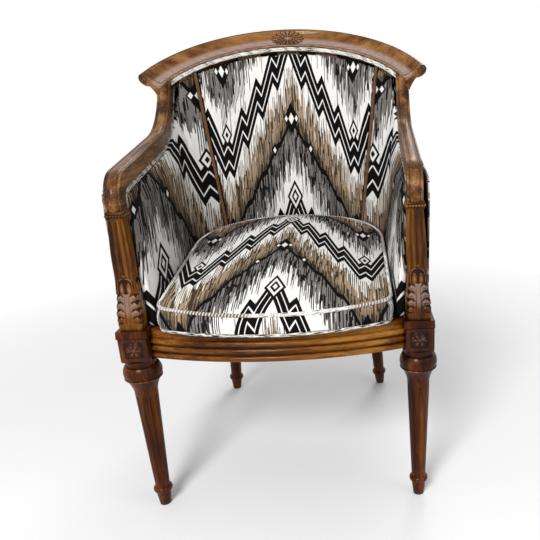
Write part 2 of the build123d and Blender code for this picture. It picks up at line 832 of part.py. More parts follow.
with BuildPart() as frame_wall:
    tub_wall(grown(inside_low, pad_low + frame_front), grown(inside_high, pad_high + frame_front),
             grown(outside_low, -panel_thickness - slip), grown(outside_high, -panel_thickness - slip))
    add(wall_side.part, mode=Mode.INTERSECT)
    cut(*panel_limits)
with BuildPart() as back_stile:
    add(frame_wall.part)
    slab(seam_low + stile_inner_edge, seam_low + stile_outer_edge,
         seam_high + stile_inner_edge, seam_high + stile_outer_edge)
left_back_stile, right_back_stile = both_sides("back_stile", back_stile)
with BuildPart() as stuffing_rails:
    add(frame_wall.part)
    level_slice(stuffing_rail_low, stuffing_rail_low + stuffing_rail_height)
    cut(left_back_stile, right_back_stile)
stuffing_names = ("left_stuffing_rail", "back_stuffing_rail", "right_stuffing_rail")
for stuffing_name, stuffing_solid in zip(stuffing_names, stuffing_rails.solids().sort_by(Axis.X)):
    with BuildPart() as stuffing_rail:
        add(stuffing_solid)
    save(stuffing_rail, stuffing_name)


# Seat deck between the rails: springs in clips, burlap, pad and cover
def deck_layer(low, high, room):
    """A layer that fills the seat frame between two heights, clear of the rails by a distance."""
    edge = grown(seat_plan, -rail_thickness - room)
    with BuildSketch(Plane.XY.offset(low)) as outline:
        with BuildLine():
            plan_line(edge, front_rail_y)
            Line((-edge.half_width, front_rail_y), (edge.half_width, front_rail_y))
        make_face()
        with Locations((0, front_centre_y)):
            Circle(front_inside - room, mode=Mode.INTERSECT)
    extrude(outline.sketch, amount=high - low)
    cut(left_front_leg, right_front_leg, rear_blocks.part)


def rail_inside_front(x):
    """Where the front rail's inner face lies at a distance from the middle."""
    return front_centre_y - sqrt(front_inside**2 - x**2)


def rail_inside_back(x):
    """Where the back rail's inner face lies at a distance from the middle."""
    return rear_centre + sqrt((seat_plan.back_radius - rail_thickness) ** 2 - x**2)


def front_bar(place):
    """Where the first bar of a spring lies, clear of the front rail all along it."""
    return rail_inside_front(abs(place) + spring_half_width + spring_pitch) + clip_reach / 2


def back_bar(place):
    """Where the last bar of a spring lies, clear of the back rail all along it."""
    return rail_inside_back(abs(place) + spring_half_width + spring_pitch) - clip_reach / 2


spring_places = [(index - (spring_count - 1) / 2) * spring_spacing for index in range(spring_count)]
with BuildPart() as seat_springs:
    for place in spring_places:
        first = front_bar(place)
        last = back_bar(place)
        bars = 2 * int((last - first) / spring_pitch / 2) + 1
        step = (last - first) / (bars - 1)
        with BuildLine(Plane.XY.offset(spring_level)) as spring_path:
            for bar in range(bars):
                along = first + bar * step
                hand = 1 if bar % 2 == 0 else -1
                near = place - hand * spring_half_width
                far = place + hand * spring_half_width
                Line((near, along), (far, along))
                if bar < bars - 1:
                    ThreePointArc((far, along), (far + hand * step / 2, along + step / 2), (far, along + step))
        spring_wire = spring_path.wires()[0]
        with BuildSketch(Plane(spring_wire @ 0, z_dir=spring_wire % 0)):
            Circle(wire_radius)
        sweep(path=spring_wire)
save(seat_springs, "seat_springs")

with BuildPart() as spring_clips:
    for place in spring_places:
        for bar_y, inward in ((front_bar(place), 1), (back_bar(place), -1)):
            with BuildSketch(Plane.XY.offset(spring_level - clip_height / 2)):
                with Locations((place, bar_y - inward * rail_thickness / 2)):
                    Rectangle(clip_width, rail_thickness + clip_reach)
            extrude(amount=clip_height)
            wire_bar = (place, bar_y, spring_level)
            pin(wire_bar, (1, 0, 0), 2 * clip_width, wire_radius + slip / 2, mode=Mode.SUBTRACT)
    cut(front_seat_rail.part, seat_rails.part)
save(spring_clips, "spring_clips")

burlap_low = spring_level + clip_height / 2 + slip
burlap_top = burlap_low + burlap_thickness
cover_low = rail_top - deck_cover_thickness
with BuildPart() as deck_burlap:
    deck_layer(burlap_low, burlap_top, slip)
save(deck_burlap, "deck_burlap")
with BuildPart() as deck_pad:
    deck_layer(burlap_top + slip, cover_low - slip, slip)
save(deck_pad, "deck_pad")
with BuildPart() as deck_cover:
    deck_layer(cover_low, rail_top, slip)
save(deck_cover, "deck_cover")

# Dust cover tacked under the rails, cut round the legs
dust_half = seat_plan.half_width - rail_thickness / 2
with BuildPart() as dust_cover:
    with BuildSketch(Plane.XY.offset(rail_bottom - dust_cover_thickness)):
        with BuildLine():
            plan_line(grown(seat_plan, -rail_thickness / 2), front_rail_y)
            Line((-dust_half, front_rail_y), (dust_half, front_rail_y))
        make_face()
        with Locations((0, front_centre_y)):
            Circle(front_radius - rail_thickness / 2, mode=Mode.INTERSECT)
        for side in (-1, 1):
            with Locations((side * leg_x, leg_y)):
                Circle(bulb_radius + dust_room, mode=Mode.SUBTRACT)
            with Locations((side * rear_block_x, rear_block_y)):
                Circle(rear_top_radius + dust_room, mode=Mode.SUBTRACT)
    extrude(amount=dust_cover_thickness)
save(dust_cover, "dust_cover")


# Loose cushion: bow front, drawn-in boxing that grows towards the back, and a crown
cushion_plan = grown(between(inside_low, inside_high, rail_top), -cushion_side_room)
cushion_base = rail_top + slip


def cushion_outline(rise, height, inset):
    """The cushion's outline on a plane that rises towards the back, drawn in by a distance."""
    plan = grown(cushion_plan, -inset)
    middle = cushion_base + height - cushion_front * tan(radians(rise))
    front = (0, cushion_front + inset)
    corner_y = cushion_corner_y + inset
    with BuildSketch(Plane((0, 0, middle)).rotated((rise, 0, 0))) as outline:
        with BuildLine():
            plan_line(plan, corner_y)
            ThreePointArc((-plan.half_width, corner_y), front, (plan.half_width, corner_y))
        make_face()
        fillet(outline.vertices().group_by(Axis.Y)[0], cushion_corner_round)
    return outline.sketch


def cushion_body(skin):
    """The stuffed form, taken in by a skin thickness on every side."""
    top = cushion_front_height
    levels = []
    for step in range(boxing_steps):
        share = step / boxing_steps
        levels.append((share, share * top, cushion_edge - cushion_bulge * sin(radians(180 * share))))
    for step in range(crown_steps + 1):
        lean = radians(90 * step / crown_steps)
        levels.append((1.0, top + cushion_crown * sin(lean), cushion_edge + cushion_shoulder * (1 - cos(lean))))
    sections = []
    for share, height, inset in levels:
        shift = skin * (1 - 2 * share)
        sections.append(cushion_outline(share * cushion_rise, height + shift, inset + skin))
    loft(sections, ruled=True)


def cushion_welt(rise, height, inset):
    """A piped welt round the cushion."""
    path = cushion_outline(rise, height, inset).faces()[0].outer_wire()
    with BuildSketch(Plane(path @ 0, z_dir=path % 0)) as cord:
        Circle(welt_radius)
    sweep(cord.sketch, path=path)


with BuildPart() as cushion_top_welt:
    cushion_welt(cushion_rise, cushion_front_height, cushion_edge)
save(cushion_top_welt, "cushion_top_welt")
with BuildPart() as cushion_bottom_welt:
    cushion_welt(0, welt_radius, cushion_edge)
save(cushion_bottom_welt, "cushion_bottom_welt")
with BuildPart() as cushion_core:
    cushion_body(cushion_skin)
save(cushion_core, "cushion_core")
with BuildPart() as cushion_cover:
    cushion_body(0)
    cut(cushion_core.part, cushion_top_welt.part, cushion_bottom_welt.part)
save(cushion_cover, "cushion_cover")
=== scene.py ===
# %% [markdown]
# # Barrel-back armchair with a carved show-wood frame
# The CAD nodes bring every real shape and size. This file dresses them: walnut on the carved frame,
# flame-stitch cloth on the tub and the loose cushion, welts along the seams, and the small carvings that
# are too fine for the solids. Everything is in metres, in the frame of the CAD model.

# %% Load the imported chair
import json
from math import asin, atan2, cos, pi, radians, sin, sqrt, tau

import bmesh
import bpy
import numpy as np
from mathutils import Matrix, Vector
from mathutils.kdtree import KDTree


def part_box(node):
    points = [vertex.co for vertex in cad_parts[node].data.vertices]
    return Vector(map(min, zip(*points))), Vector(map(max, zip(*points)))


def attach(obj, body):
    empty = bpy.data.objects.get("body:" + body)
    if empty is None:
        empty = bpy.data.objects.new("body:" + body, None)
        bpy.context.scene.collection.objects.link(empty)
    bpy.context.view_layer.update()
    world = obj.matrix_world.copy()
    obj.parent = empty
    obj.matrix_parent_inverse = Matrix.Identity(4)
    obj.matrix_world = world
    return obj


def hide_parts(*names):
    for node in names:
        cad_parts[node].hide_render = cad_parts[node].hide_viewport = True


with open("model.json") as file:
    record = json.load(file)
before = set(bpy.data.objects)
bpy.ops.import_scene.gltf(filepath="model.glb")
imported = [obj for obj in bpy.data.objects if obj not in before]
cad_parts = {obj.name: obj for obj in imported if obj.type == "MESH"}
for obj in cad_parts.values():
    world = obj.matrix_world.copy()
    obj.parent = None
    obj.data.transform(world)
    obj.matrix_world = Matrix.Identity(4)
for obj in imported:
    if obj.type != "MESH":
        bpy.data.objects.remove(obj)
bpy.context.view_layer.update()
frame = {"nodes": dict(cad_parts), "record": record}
nodes = frame["nodes"]
scene = bpy.context.scene
MM = 0.001
FRAME = "chair_frame"
CUSHION = "seat_cushion"
SIDES = (("left", -1), ("right", 1))
print(len(nodes), "CAD nodes")

# %% [markdown]
# ## Small tools
# Welts, cords and carvings are new meshes. Blender could make them from curves or with its modelling
# operators. Here `Build` gathers plain points and faces, because one call can then also carry the cloth's
# coordinates and each point's painted shade or highlight.

# %% Mesh tools


def lay_cloth(obj, across, up):
    """Write the cloth's own coordinates, one pair for each point."""
    layer = obj.data.uv_layers.new(name="cloth")
    corners = np.empty(len(obj.data.loops), np.int32)
    obj.data.loops.foreach_get("vertex_index", corners)
    layer.data.foreach_set("uv", np.column_stack((across, up))[corners].astype(np.float32).ravel())


class Build:
    """Points and faces of one mesh in the making, with cloth coordinates and painted shade or highlight where
    given.
    """

    def __init__(self):
        self.points = []
        self.faces = []
        self.cloth = []
        self.relief_light = []

    def add(self, points, faces, cloth=None, relief_light=None):
        start = len(self.points)
        self.points += [tuple(p) for p in points]
        self.faces += [tuple(start + i for i in face) for face in faces]
        self.cloth += cloth or [(0.0, 0.0)] * len(points)
        self.relief_light += relief_light or [0.0] * len(points)

    def grid(self, rows, closed=False, cloth=None, relief_light=None):
        """Rows of points, joined into quads; closed joins each row's ends."""
        count = len(rows[0])
        faces = []
        for r in range(len(rows) - 1):
            for c in range(count if closed else count - 1):
                d = (c + 1) % count
                faces.append((r * count + c, r * count + d, (r + 1) * count + d, (r + 1) * count + c))
        self.add(together(rows), faces, cloth and together(cloth), relief_light and together(relief_light))

    def tube(self, path, radius, sides=10, closed=False, pitch=0.0, groove=0.0):
        """A round cord along a path; with a pitch it is two strands laid together."""
        path = [Vector(p) for p in path]
        count = len(path)
        steps = [(path[(i + 1) % count] - path[i]).length for i in range(count)]
        if closed and pitch:
            pitch = sum(steps) / round(sum(steps) / pitch)
        side = None
        length = 0.0
        rows = []
        cloth = []
        for i, point in enumerate(path):
            ahead = path[(i + 1) % count] if closed else path[min(i + 1, count - 1)]
            behind = path[i - 1] if closed else path[max(i - 1, 0)]
            along = (ahead - behind).normalized()
            if side is None:
                side = along.orthogonal()
            side = (side - along * side.dot(along)).normalized()
            other = along.cross(side)
            turns = [tau * k / sides for k in range(sides + 1)]
            lay = tau * length / pitch if pitch else 0.0
            reach = [radius * (1 + groove * cos(2 * t + lay)) for t in turns]
            rows.append([point + r * (side * cos(t) + other * sin(t)) for r, t in zip(reach, turns)])
            cloth.append([(length, radius * t) for t in turns])
            length += steps[i]
        if closed:
            rows.append(rows[0])
            cloth.append([(length, radius * t) for t in turns])
        first = len(self.points)
        self.grid(rows, cloth=cloth)
        if not closed:
            last = len(self.points) - sides - 1
            self.faces.append(tuple(first + k for k in reversed(range(sides))))
            self.faces.append(tuple(last + k for k in range(sides)))

    def make(self, name):
        mesh = bpy.data.meshes.new(name)
        mesh.from_pydata(self.points, [], self.faces)
        # Each point's painted shade or highlight, kept as the point attribute depth.
        if any(self.relief_light):
            mesh.attributes.new("depth", "FLOAT", "POINT").data.foreach_set("value", self.relief_light)
        obj = bpy.data.objects.new(name, mesh)
        scene.collection.objects.link(obj)
        if any(map(any, self.cloth)):
            lay_cloth(obj, *np.array(self.cloth).T)
        tidy_mesh(obj)
        return obj


def together(rows):
    return [item for row in rows for item in row]


# %% [markdown]
# Every new mesh is closed at its seams and turned outward before it is used. `settle` then gives it its
# material and the body that it rides on, and hides the CAD nodes that it stands for.

# %% Clean a mesh and settle it


def tidy_mesh(obj, largest=False):
    """Join doubled points, turn the faces outward and shade them smooth."""
    form = bmesh.new()
    form.from_mesh(obj.data)
    bmesh.ops.remove_doubles(form, verts=form.verts, dist=0.01 * MM)
    if largest:
        keep_largest(form)
    bmesh.ops.recalc_face_normals(form, faces=form.faces)
    form.to_mesh(obj.data)
    form.free()
    obj.data.shade_smooth()


def keep_largest(form):
    """Drop every loose shell but the one with the most reach."""
    left = set(form.verts)
    shells = []
    while left:
        shell = {left.pop()}
        edge = list(shell)
        while edge:
            vert = edge.pop()
            near = {e.other_vert(vert) for e in vert.link_edges} & left
            left -= near
            shell |= near
            edge += near
        shells.append(shell)
    shells.sort(key=lambda shell: max(v.co.x for v in shell) - min(v.co.x for v in shell))
    for shell in shells[:-1]:
        bmesh.ops.delete(form, geom=list(shell), context="VERTS")


def settle(obj, body, slot, material, *stands_for):
    obj.data.materials.clear()
    obj.data.materials.append(material)
    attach(obj, body)
    if stands_for:
        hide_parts(*stands_for)
    print(f"{obj.name}: {len(obj.data.polygons)} faces on {body}")
    return obj


# %% [markdown]
# The soft pieces start as copies of their CAD solids, so that they sit where the solids sit. Their points
# are read and written as arrays, because a Python loop over tens of thousands of points is slow.

# %% Read, change and copy meshes


def bake(obj):
    """Swap the mesh for what the object's modifiers make of it."""
    made = bpy.data.meshes.new_from_object(obj.evaluated_get(bpy.context.evaluated_depsgraph_get()))
    obj.modifiers.clear()
    obj.data = made
    return obj


def points_of(mesh):
    flat = np.empty(3 * len(mesh.vertices), np.float32)
    mesh.vertices.foreach_get("co", flat)
    return flat.reshape(-1, 3).astype(float)


def normals_of(mesh):
    flat = np.empty(3 * len(mesh.vertices), np.float32)
    mesh.vertices.foreach_get("normal", flat)
    return flat.reshape(-1, 3)


def put_points(mesh, points):
    mesh.vertices.foreach_set("co", points.astype(np.float32).ravel())
    mesh.update()


def copy_of(node, name, largest=False):
    """A loose copy of a CAD node's mesh, with its doubled points joined."""
    obj = bpy.data.objects.new(name, nodes[node].data.copy())
    scene.collection.objects.link(obj)
    tidy_mesh(obj, largest=largest)
    return obj


def finer(obj, longest, rounds):
    """Split long edges, so that a plain face can carry a curve or the cloth's coordinates."""
    form = bmesh.new()
    form.from_mesh(obj.data)
    for _ in range(rounds):
        long_edges = [e for e in form.edges if e.calc_length() > longest]
        bmesh.ops.subdivide_edges(form, edges=long_edges, cuts=1)
    bmesh.ops.triangulate(form, faces=form.faces)
    form.to_mesh(obj.data)
    form.free()


# %% [markdown]
# The arm sweeps from its post up to the crest, and the crest is part of a flared ring that leans back.
# Points could be read off the CAD meshes, but grooves and welts need smooth paths, so the few numbers of
# the two lines are written here again.

# %% Lines of the frame, as in the CAD source
ARM_FOOT = Vector((236 * MM, -266 * MM, 0))
ARM_TOE_OUT = radians(2)
ARM_CORNERS = [Vector((0, 561)), Vector((0, 604)), Vector((342, 657))]
ARM_CORNERS.append(ARM_CORNERS[2] + 125 * Vector((cos(radians(55)), sin(radians(55)))))
ARM_RADII = (34, 190)
CREST_MIDDLE = Vector((0, 46 * MM, 695.5 * MM))
CREST_TILT = radians(26.8)
CREST_FLARE = radians(29.2)
CREST_EDGE = (268.0, 14.5)
CREST_FACE = 41.0
CREST_NOSE = 11.5
CREST_COVE = 4.5
CREST_TURN = 70.0

# %% [markdown]
# ## Materials
# A picture of wood or cloth could be wrapped round each piece. Every finish here is a formula instead,
# because it needs no picture and stays sharp close up. `Graph` lets the shader nodes be written as sums.

# %% Material tools


class Graph:
    """Shader nodes written as sums."""

    def __init__(self, name):
        self.material = bpy.data.materials.new(name)
        self.material.use_nodes = True
        self.tree = self.material.node_tree
        self.shader = self.tree.nodes["Principled BSDF"]

    def node(self, kind, **values):
        made = self.tree.nodes.new(kind)
        for key, value in values.items():
            setattr(made, key, value)
        return made

    def link(self, value, socket):
        if isinstance(value, bpy.types.NodeSocket):
            self.tree.links.new(value, socket)
        else:
            socket.default_value = value

    def paint(self, colour, socket):
        """Link a colour, or set a plain one."""
        self.link(colour if isinstance(colour, bpy.types.NodeSocket) else (*colour, 1), socket)

    def math(self, operation, *values):
        made = self.node("ShaderNodeMath", operation=operation)
        for value, socket in zip(values, made.inputs):
            self.link(value, socket)
        return made.outputs[0]

    def add(self, a, b):
        return self.math("ADD", a, b)

    def sub(self, a, b):
        return self.math("SUBTRACT", a, b)

    def mul(self, a, b):
        return self.math("MULTIPLY", a, b)

    def within(self, value, limit, soft):
        """1 where a value lies under a limit, with a narrow soft edge."""
        return self.ramp(value, limit + soft, limit - soft)

    def ramp(self, value, low, high, start=0.0, end=1.0):
        made = self.node("ShaderNodeMapRange", clamp=True)
        keys = ("Value", "From Min", "From Max", "To Min", "To Max")
        for key, given in zip(keys, (value, low, high, start, end)):
            self.link(given, made.inputs[key])
        return made.outputs["Result"]

    def curve(self, value, stops):
        """A value read off a line of stops."""
        made = self.node("ShaderNodeValToRGB")
        ramp = made.color_ramp
        while len(ramp.elements) < len(stops):
            ramp.elements.new(1.0)
        for element, (place, level) in zip(ramp.elements, stops):
            element.position = place
            element.color = (level, level, level, 1) if isinstance(level, float) else (*level, 1)
        self.link(value, made.inputs["Fac"])
        return made.outputs["Color"]

    def mix(self, share, a, b):
        made = self.node("ShaderNodeMix", data_type="RGBA")
        self.link(share, made.inputs["Factor"])
        self.paint(a, made.inputs[6])
        self.paint(b, made.inputs[7])
        return made.outputs[2]

    def noise(self, vector, scale, detail=2.0, roughness=0.5):
        made = self.node("ShaderNodeTexNoise")
        self.link(vector, made.inputs["Vector"])
        for key, value in (("Scale", scale), ("Detail", detail), ("Roughness", roughness)):
            made.inputs[key].default_value = value
        return made.outputs[0]

    def vector(self, x, y, z):
        made = self.node("ShaderNodeCombineXYZ")
        for value, socket in zip((x, y, z), made.inputs):
            self.link(value, socket)
        return made.outputs[0]

    def bump(self, height, strength, distance):
        made = self.node("ShaderNodeBump")
        made.inputs["Strength"].default_value = strength
        made.inputs["Distance"].default_value = distance
        self.link(height, made.inputs["Height"])
        self.tree.links.new(made.outputs[0], self.shader.inputs["Normal"])

    def object_point(self):
        split = self.node("ShaderNodeSeparateXYZ")
        self.link(self.node("ShaderNodeTexCoord").outputs["Object"], split.inputs[0])
        return split.outputs

    def cloth_point(self):
        split = self.node("ShaderNodeSeparateXYZ")
        self.link(self.node("ShaderNodeUVMap", uv_map="cloth").outputs[0], split.inputs[0])
        return split.outputs[0], split.outputs[1]

    def random(self, x, y):
        made = self.node("ShaderNodeTexWhiteNoise", noise_dimensions="2D")
        self.link(self.vector(x, y, 0.0), made.inputs["Vector"])
        return made.outputs["Value"]

    # The point attribute depth holds painted light: shade where positive, highlight where negative.
    def carved(self):
        return self.node("ShaderNodeAttribute", attribute_name="depth").outputs["Fac"]

    def finish(self, colour, roughness, **others):
        self.paint(colour, self.shader.inputs["Base Color"])
        self.link(roughness, self.shader.inputs["Roughness"])
        for key, value in others.items():
            self.shader.inputs[key.replace("_", " ")].default_value = value
        return self.material


def mottled(name, dark, light, scale, roughness, **others):
    """A plain stuff with fine flecks of two tones."""
    g = Graph(name)
    flecks = g.noise(g.vector(*g.object_point()), scale, 2.0, 0.6)
    g.bump(flecks, 0.2, 0.5 * MM)
    return g.finish(g.mix(g.ramp(flecks, 0.38, 0.62), dark, light), roughness, **others)


# %% [markdown]
# The show-wood is stained, oiled walnut. The grain is noise stretched along one axis, which is chosen for
# each piece. Corners get painted shade from ambient occlusion. Where a piece is carved, each point's depth
# value paints near-black shade into the cuts and a pale painted highlight onto the high spots.

# %% Walnut
# Painted shade colour for corners, carved cuts and fine grooves.
RECESS_SHADE = (0.010, 0.003, 0.001)
RECESS_REACH = 7 * MM
GRAIN_STRETCH = 0.09
FIGURE_SCALE = 38.0
FINE_SCALE = 420.0
# Each table runs from dark to light. The walnut's colour is real, but the differences between the tables are
# painted light: the upright legs are darkest and the crest, which faces up, lightest, as light falls on them.
LEG_TONES = ((0.014, 0.0026, 0.0004), (0.054, 0.011, 0.0009), (0.132, 0.038, 0.0035))
RAIL_TONES = ((0.050, 0.014, 0.0012), (0.180, 0.058, 0.006), (0.350, 0.145, 0.020))
POST_TONES = ((0.036, 0.010, 0.001), (0.140, 0.044, 0.005), (0.280, 0.110, 0.016))
ARM_TONES = ((0.030, 0.010, 0.002), (0.125, 0.050, 0.014), (0.320, 0.160, 0.060))
CREST_TONES = ((0.080, 0.027, 0.006), (0.200, 0.082, 0.021), (0.340, 0.160, 0.048))
# Painted reflection colours for the crest's hollow face.
ROSY_SHEEN = (0.400, 0.285, 0.235)
ROSY_SHEEN_DARK = (0.265, 0.168, 0.126)
# Painted highlight colour for the high spots of carvings.
HIGHLIGHT_PAINT = (0.340, 0.278, 0.240)


def walnut(name, grain, tones, tint=None):
    """Oiled walnut with its grain along axis 0, 1 or 2, from dark to light tones."""
    g = Graph(name)
    point = g.object_point()
    stretch = [1.0, 1.0, 1.0]
    stretch[grain] = GRAIN_STRETCH
    along = g.vector(*(g.mul(axis, share) for axis, share in zip(point, stretch)))
    figure = g.noise(along, FIGURE_SCALE, 3.0, 0.55)
    fine = g.noise(along, FINE_SCALE, 2.0, 0.6)
    tone = g.add(g.mul(figure, 0.75), g.mul(fine, 0.30))
    wood = g.curve(tone, list(zip((0.41, 0.53, 0.66), tones)))
    if tint:
        wood = tint(g, point, fine, wood)
    # Painted shade: ambient occlusion darkens corners toward the recess shade colour.
    shade = g.node("ShaderNodeAmbientOcclusion", samples=8)
    shade.inputs["Distance"].default_value = RECESS_REACH
    wood = g.mix(g.ramp(shade.outputs["AO"], 0.30, 0.88), RECESS_SHADE, wood)
    # Painted shade in carved cuts where the value is positive, painted highlight on high spots where it is
    # negative.
    cut = g.carved()
    wood = g.mix(g.ramp(cut, 0.0, 1.0), wood, RECESS_SHADE)
    wood = g.mix(g.ramp(cut, 0.0, -1.0), wood, HIGHLIGHT_PAINT)
    g.bump(fine, 0.10, 0.4 * MM)
    gloss = g.ramp(figure, 0.3, 0.7, 0.30, 0.42)
    return g.finish(wood, gloss, Coat_Weight=0.15, Coat_Roughness=0.06, Specular_IOR_Level=0.06)


# Where the painted reflection lies on the crest's face.
SHEEN_TOP = (27 * MM, 19 * MM)
SHEEN_FOOT = (1 * MM, 5 * MM)
SHEEN_DEPTH = (-9 * MM, -7 * MM)
SHEEN_UNEVEN = 9 * MM


def crest_painted_sheen(g, point, fine, wood):
    """The crest's hollow face is painted paler and rosier than its rolled top, a painted reflection of its
    sheen.
    """
    x, y, z = point
    y = g.sub(y, CREST_MIDDLE.y)
    z = g.sub(z, CREST_MIDDLE.z)
    rise = g.sub(g.mul(z, cos(CREST_TILT)), g.mul(y, sin(CREST_TILT)))
    back = g.add(g.mul(y, cos(CREST_TILT)), g.mul(z, sin(CREST_TILT)))
    radius = g.math("SQRT", g.add(g.mul(x, x), g.mul(back, back)))
    along = g.add(
        g.mul(g.sub(radius, CREST_EDGE[0] * MM), cos(CREST_FLARE)),
        g.mul(g.sub(rise, CREST_EDGE[1] * MM), sin(CREST_FLARE)),
    )
    along = g.add(along, g.mul(g.sub(fine, 0.5), SHEEN_UNEVEN))
    out = g.sub(
        g.mul(g.sub(rise, CREST_EDGE[1] * MM), cos(CREST_FLARE)),
        g.mul(g.sub(radius, CREST_EDGE[0] * MM), sin(CREST_FLARE)),
    )
    face = g.mul(g.ramp(along, *SHEEN_TOP), g.ramp(along, *SHEEN_FOOT))
    face = g.mul(face, g.ramp(out, *SHEEN_DEPTH))
    return g.mix(face, wood, g.mix(g.ramp(fine, 0.35, 0.6), ROSY_SHEEN_DARK, ROSY_SHEEN))


walnut_leg = walnut("walnut_leg", 2, LEG_TONES)
walnut_up = walnut("walnut_post", 2, POST_TONES)
walnut_rail = walnut("walnut_rail", 0, RAIL_TONES)
walnut_side = walnut("walnut_side_rail", 1, RAIL_TONES)
walnut_arm = walnut("walnut_arm", 1, ARM_TONES)
walnut_crest = walnut("walnut_crest", 0, CREST_TONES, crest_painted_sheen)
walnut_rosette = walnut("walnut_rosette", 0, CREST_TONES)
# Painted shade: near-black cords stand in for the shade in fine grooves.
groove_shade = mottled("walnut_groove_shade", RECESS_SHADE, (0.030, 0.011, 0.004), 300.0, 0.5)
print(len(bpy.data.materials), "materials so far")

# %% [markdown]
# The cloth is a flame stitch, a traditional zigzag, in a layout of our own. It reads a UV map called
# `cloth`, in metres across and up the piece, because Object coordinates would smear round the tub. `t` is
# the distance from the nearest peak of the zigzag, and the lines fall `SLOPE` for each step across.
# Within each `STEP` the crisp lines fall faster and then climb back a little, which gives them their
# lightning edge. Between them the colours dissolve: a thread shows ivory where its own noise lies under
# the share of ivory at that height. Small nested lozenges mark the peaks, the valleys and the thin lines.

# %% Flame stitch
PERIOD = 310 * MM
HALF_PERIOD = PERIOD / 2
REPEAT = 354 * MM
SLOPE = 1.60
STEP = HALF_PERIOD / 4
STEEP = 2.9
TOOTH = 0.72
TOOTH_BACK = (TOOTH * STEEP - SLOPE) / (1 - TOOTH)
BOLT_HALF = 38 * MM
INLAY_PLACE = 16 * MM
INLAY_HALF = 2.7 * MM
THIN_DROP = 0.504
THIN_HALF = 6.5 * MM
THREAD = 1.7 * MM
DASH = 26 * MM
IVORY = (0.87, 0.86, 0.83)
TAN = (0.370, 0.275, 0.185)
TAN_DARK = (0.055, 0.038, 0.023)
UMBER = (0.140, 0.100, 0.066)
CHARCOAL = (0.210, 0.192, 0.178)
CHARCOAL_DARK = (0.009, 0.008, 0.008)
BLACK = (0.005, 0.004, 0.004)
STRAND_OWN = 0.40
STRAND_DRIFT = 0.38
STRAND_ODD = 0.22
EDGE = 0.5 * MM
HOLLOW_REACH = 240 * MM
HOLLOW_SHADE = 0.70
IVORY_SHARES = [(0.0, 0.83), (0.15, 0.78), (0.23, 0.52), (0.31, 0.29), (0.39, 0.13)]
IVORY_SHARES += [(0.46, 0.05), (0.51, 0.0), (0.58, 0.06), (0.66, 0.18), (0.75, 0.38)]
IVORY_SHARES += [(0.83, 0.62), (0.89, 0.80), (1.0, 0.83)]
LIGHT_GROUND = [(0.11, CHARCOAL), (0.20, TAN), (0.41, TAN), (0.49, UMBER), (0.54, CHARCOAL)]
DARK_GROUND = [(0.11, CHARCOAL_DARK), (0.20, TAN_DARK), (0.43, TAN_DARK), (0.54, CHARCOAL_DARK)]
LOZENGE_TALL = 2.0
PEAK_LOZENGES = ((19.0 * MM, BLACK), (13.9 * MM, IVORY), (9.1 * MM, BLACK), (4.5 * MM, IVORY))
FLANK_ACROSS = 28 * MM
FLANK_DOWN = 26 * MM
FLANK_DOTS = ((5.5 * MM, IVORY),)
VALLEY_RISE = 40 * MM
VALLEY_LOZENGES = ((13.0 * MM, BLACK), (8.5 * MM, IVORY), (4.0 * MM, BLACK))
THIN_LOZENGES = ((18.0 * MM, BLACK), (6.5 * MM, IVORY))
THIN_DOT_ACROSS = 12 * MM
THIN_DOTS = ((3.6 * MM, IVORY),)
KNOT_ACROSS = 43 * MM
KNOTS = ((8.0 * MM, BLACK), (3.6 * MM, IVORY))


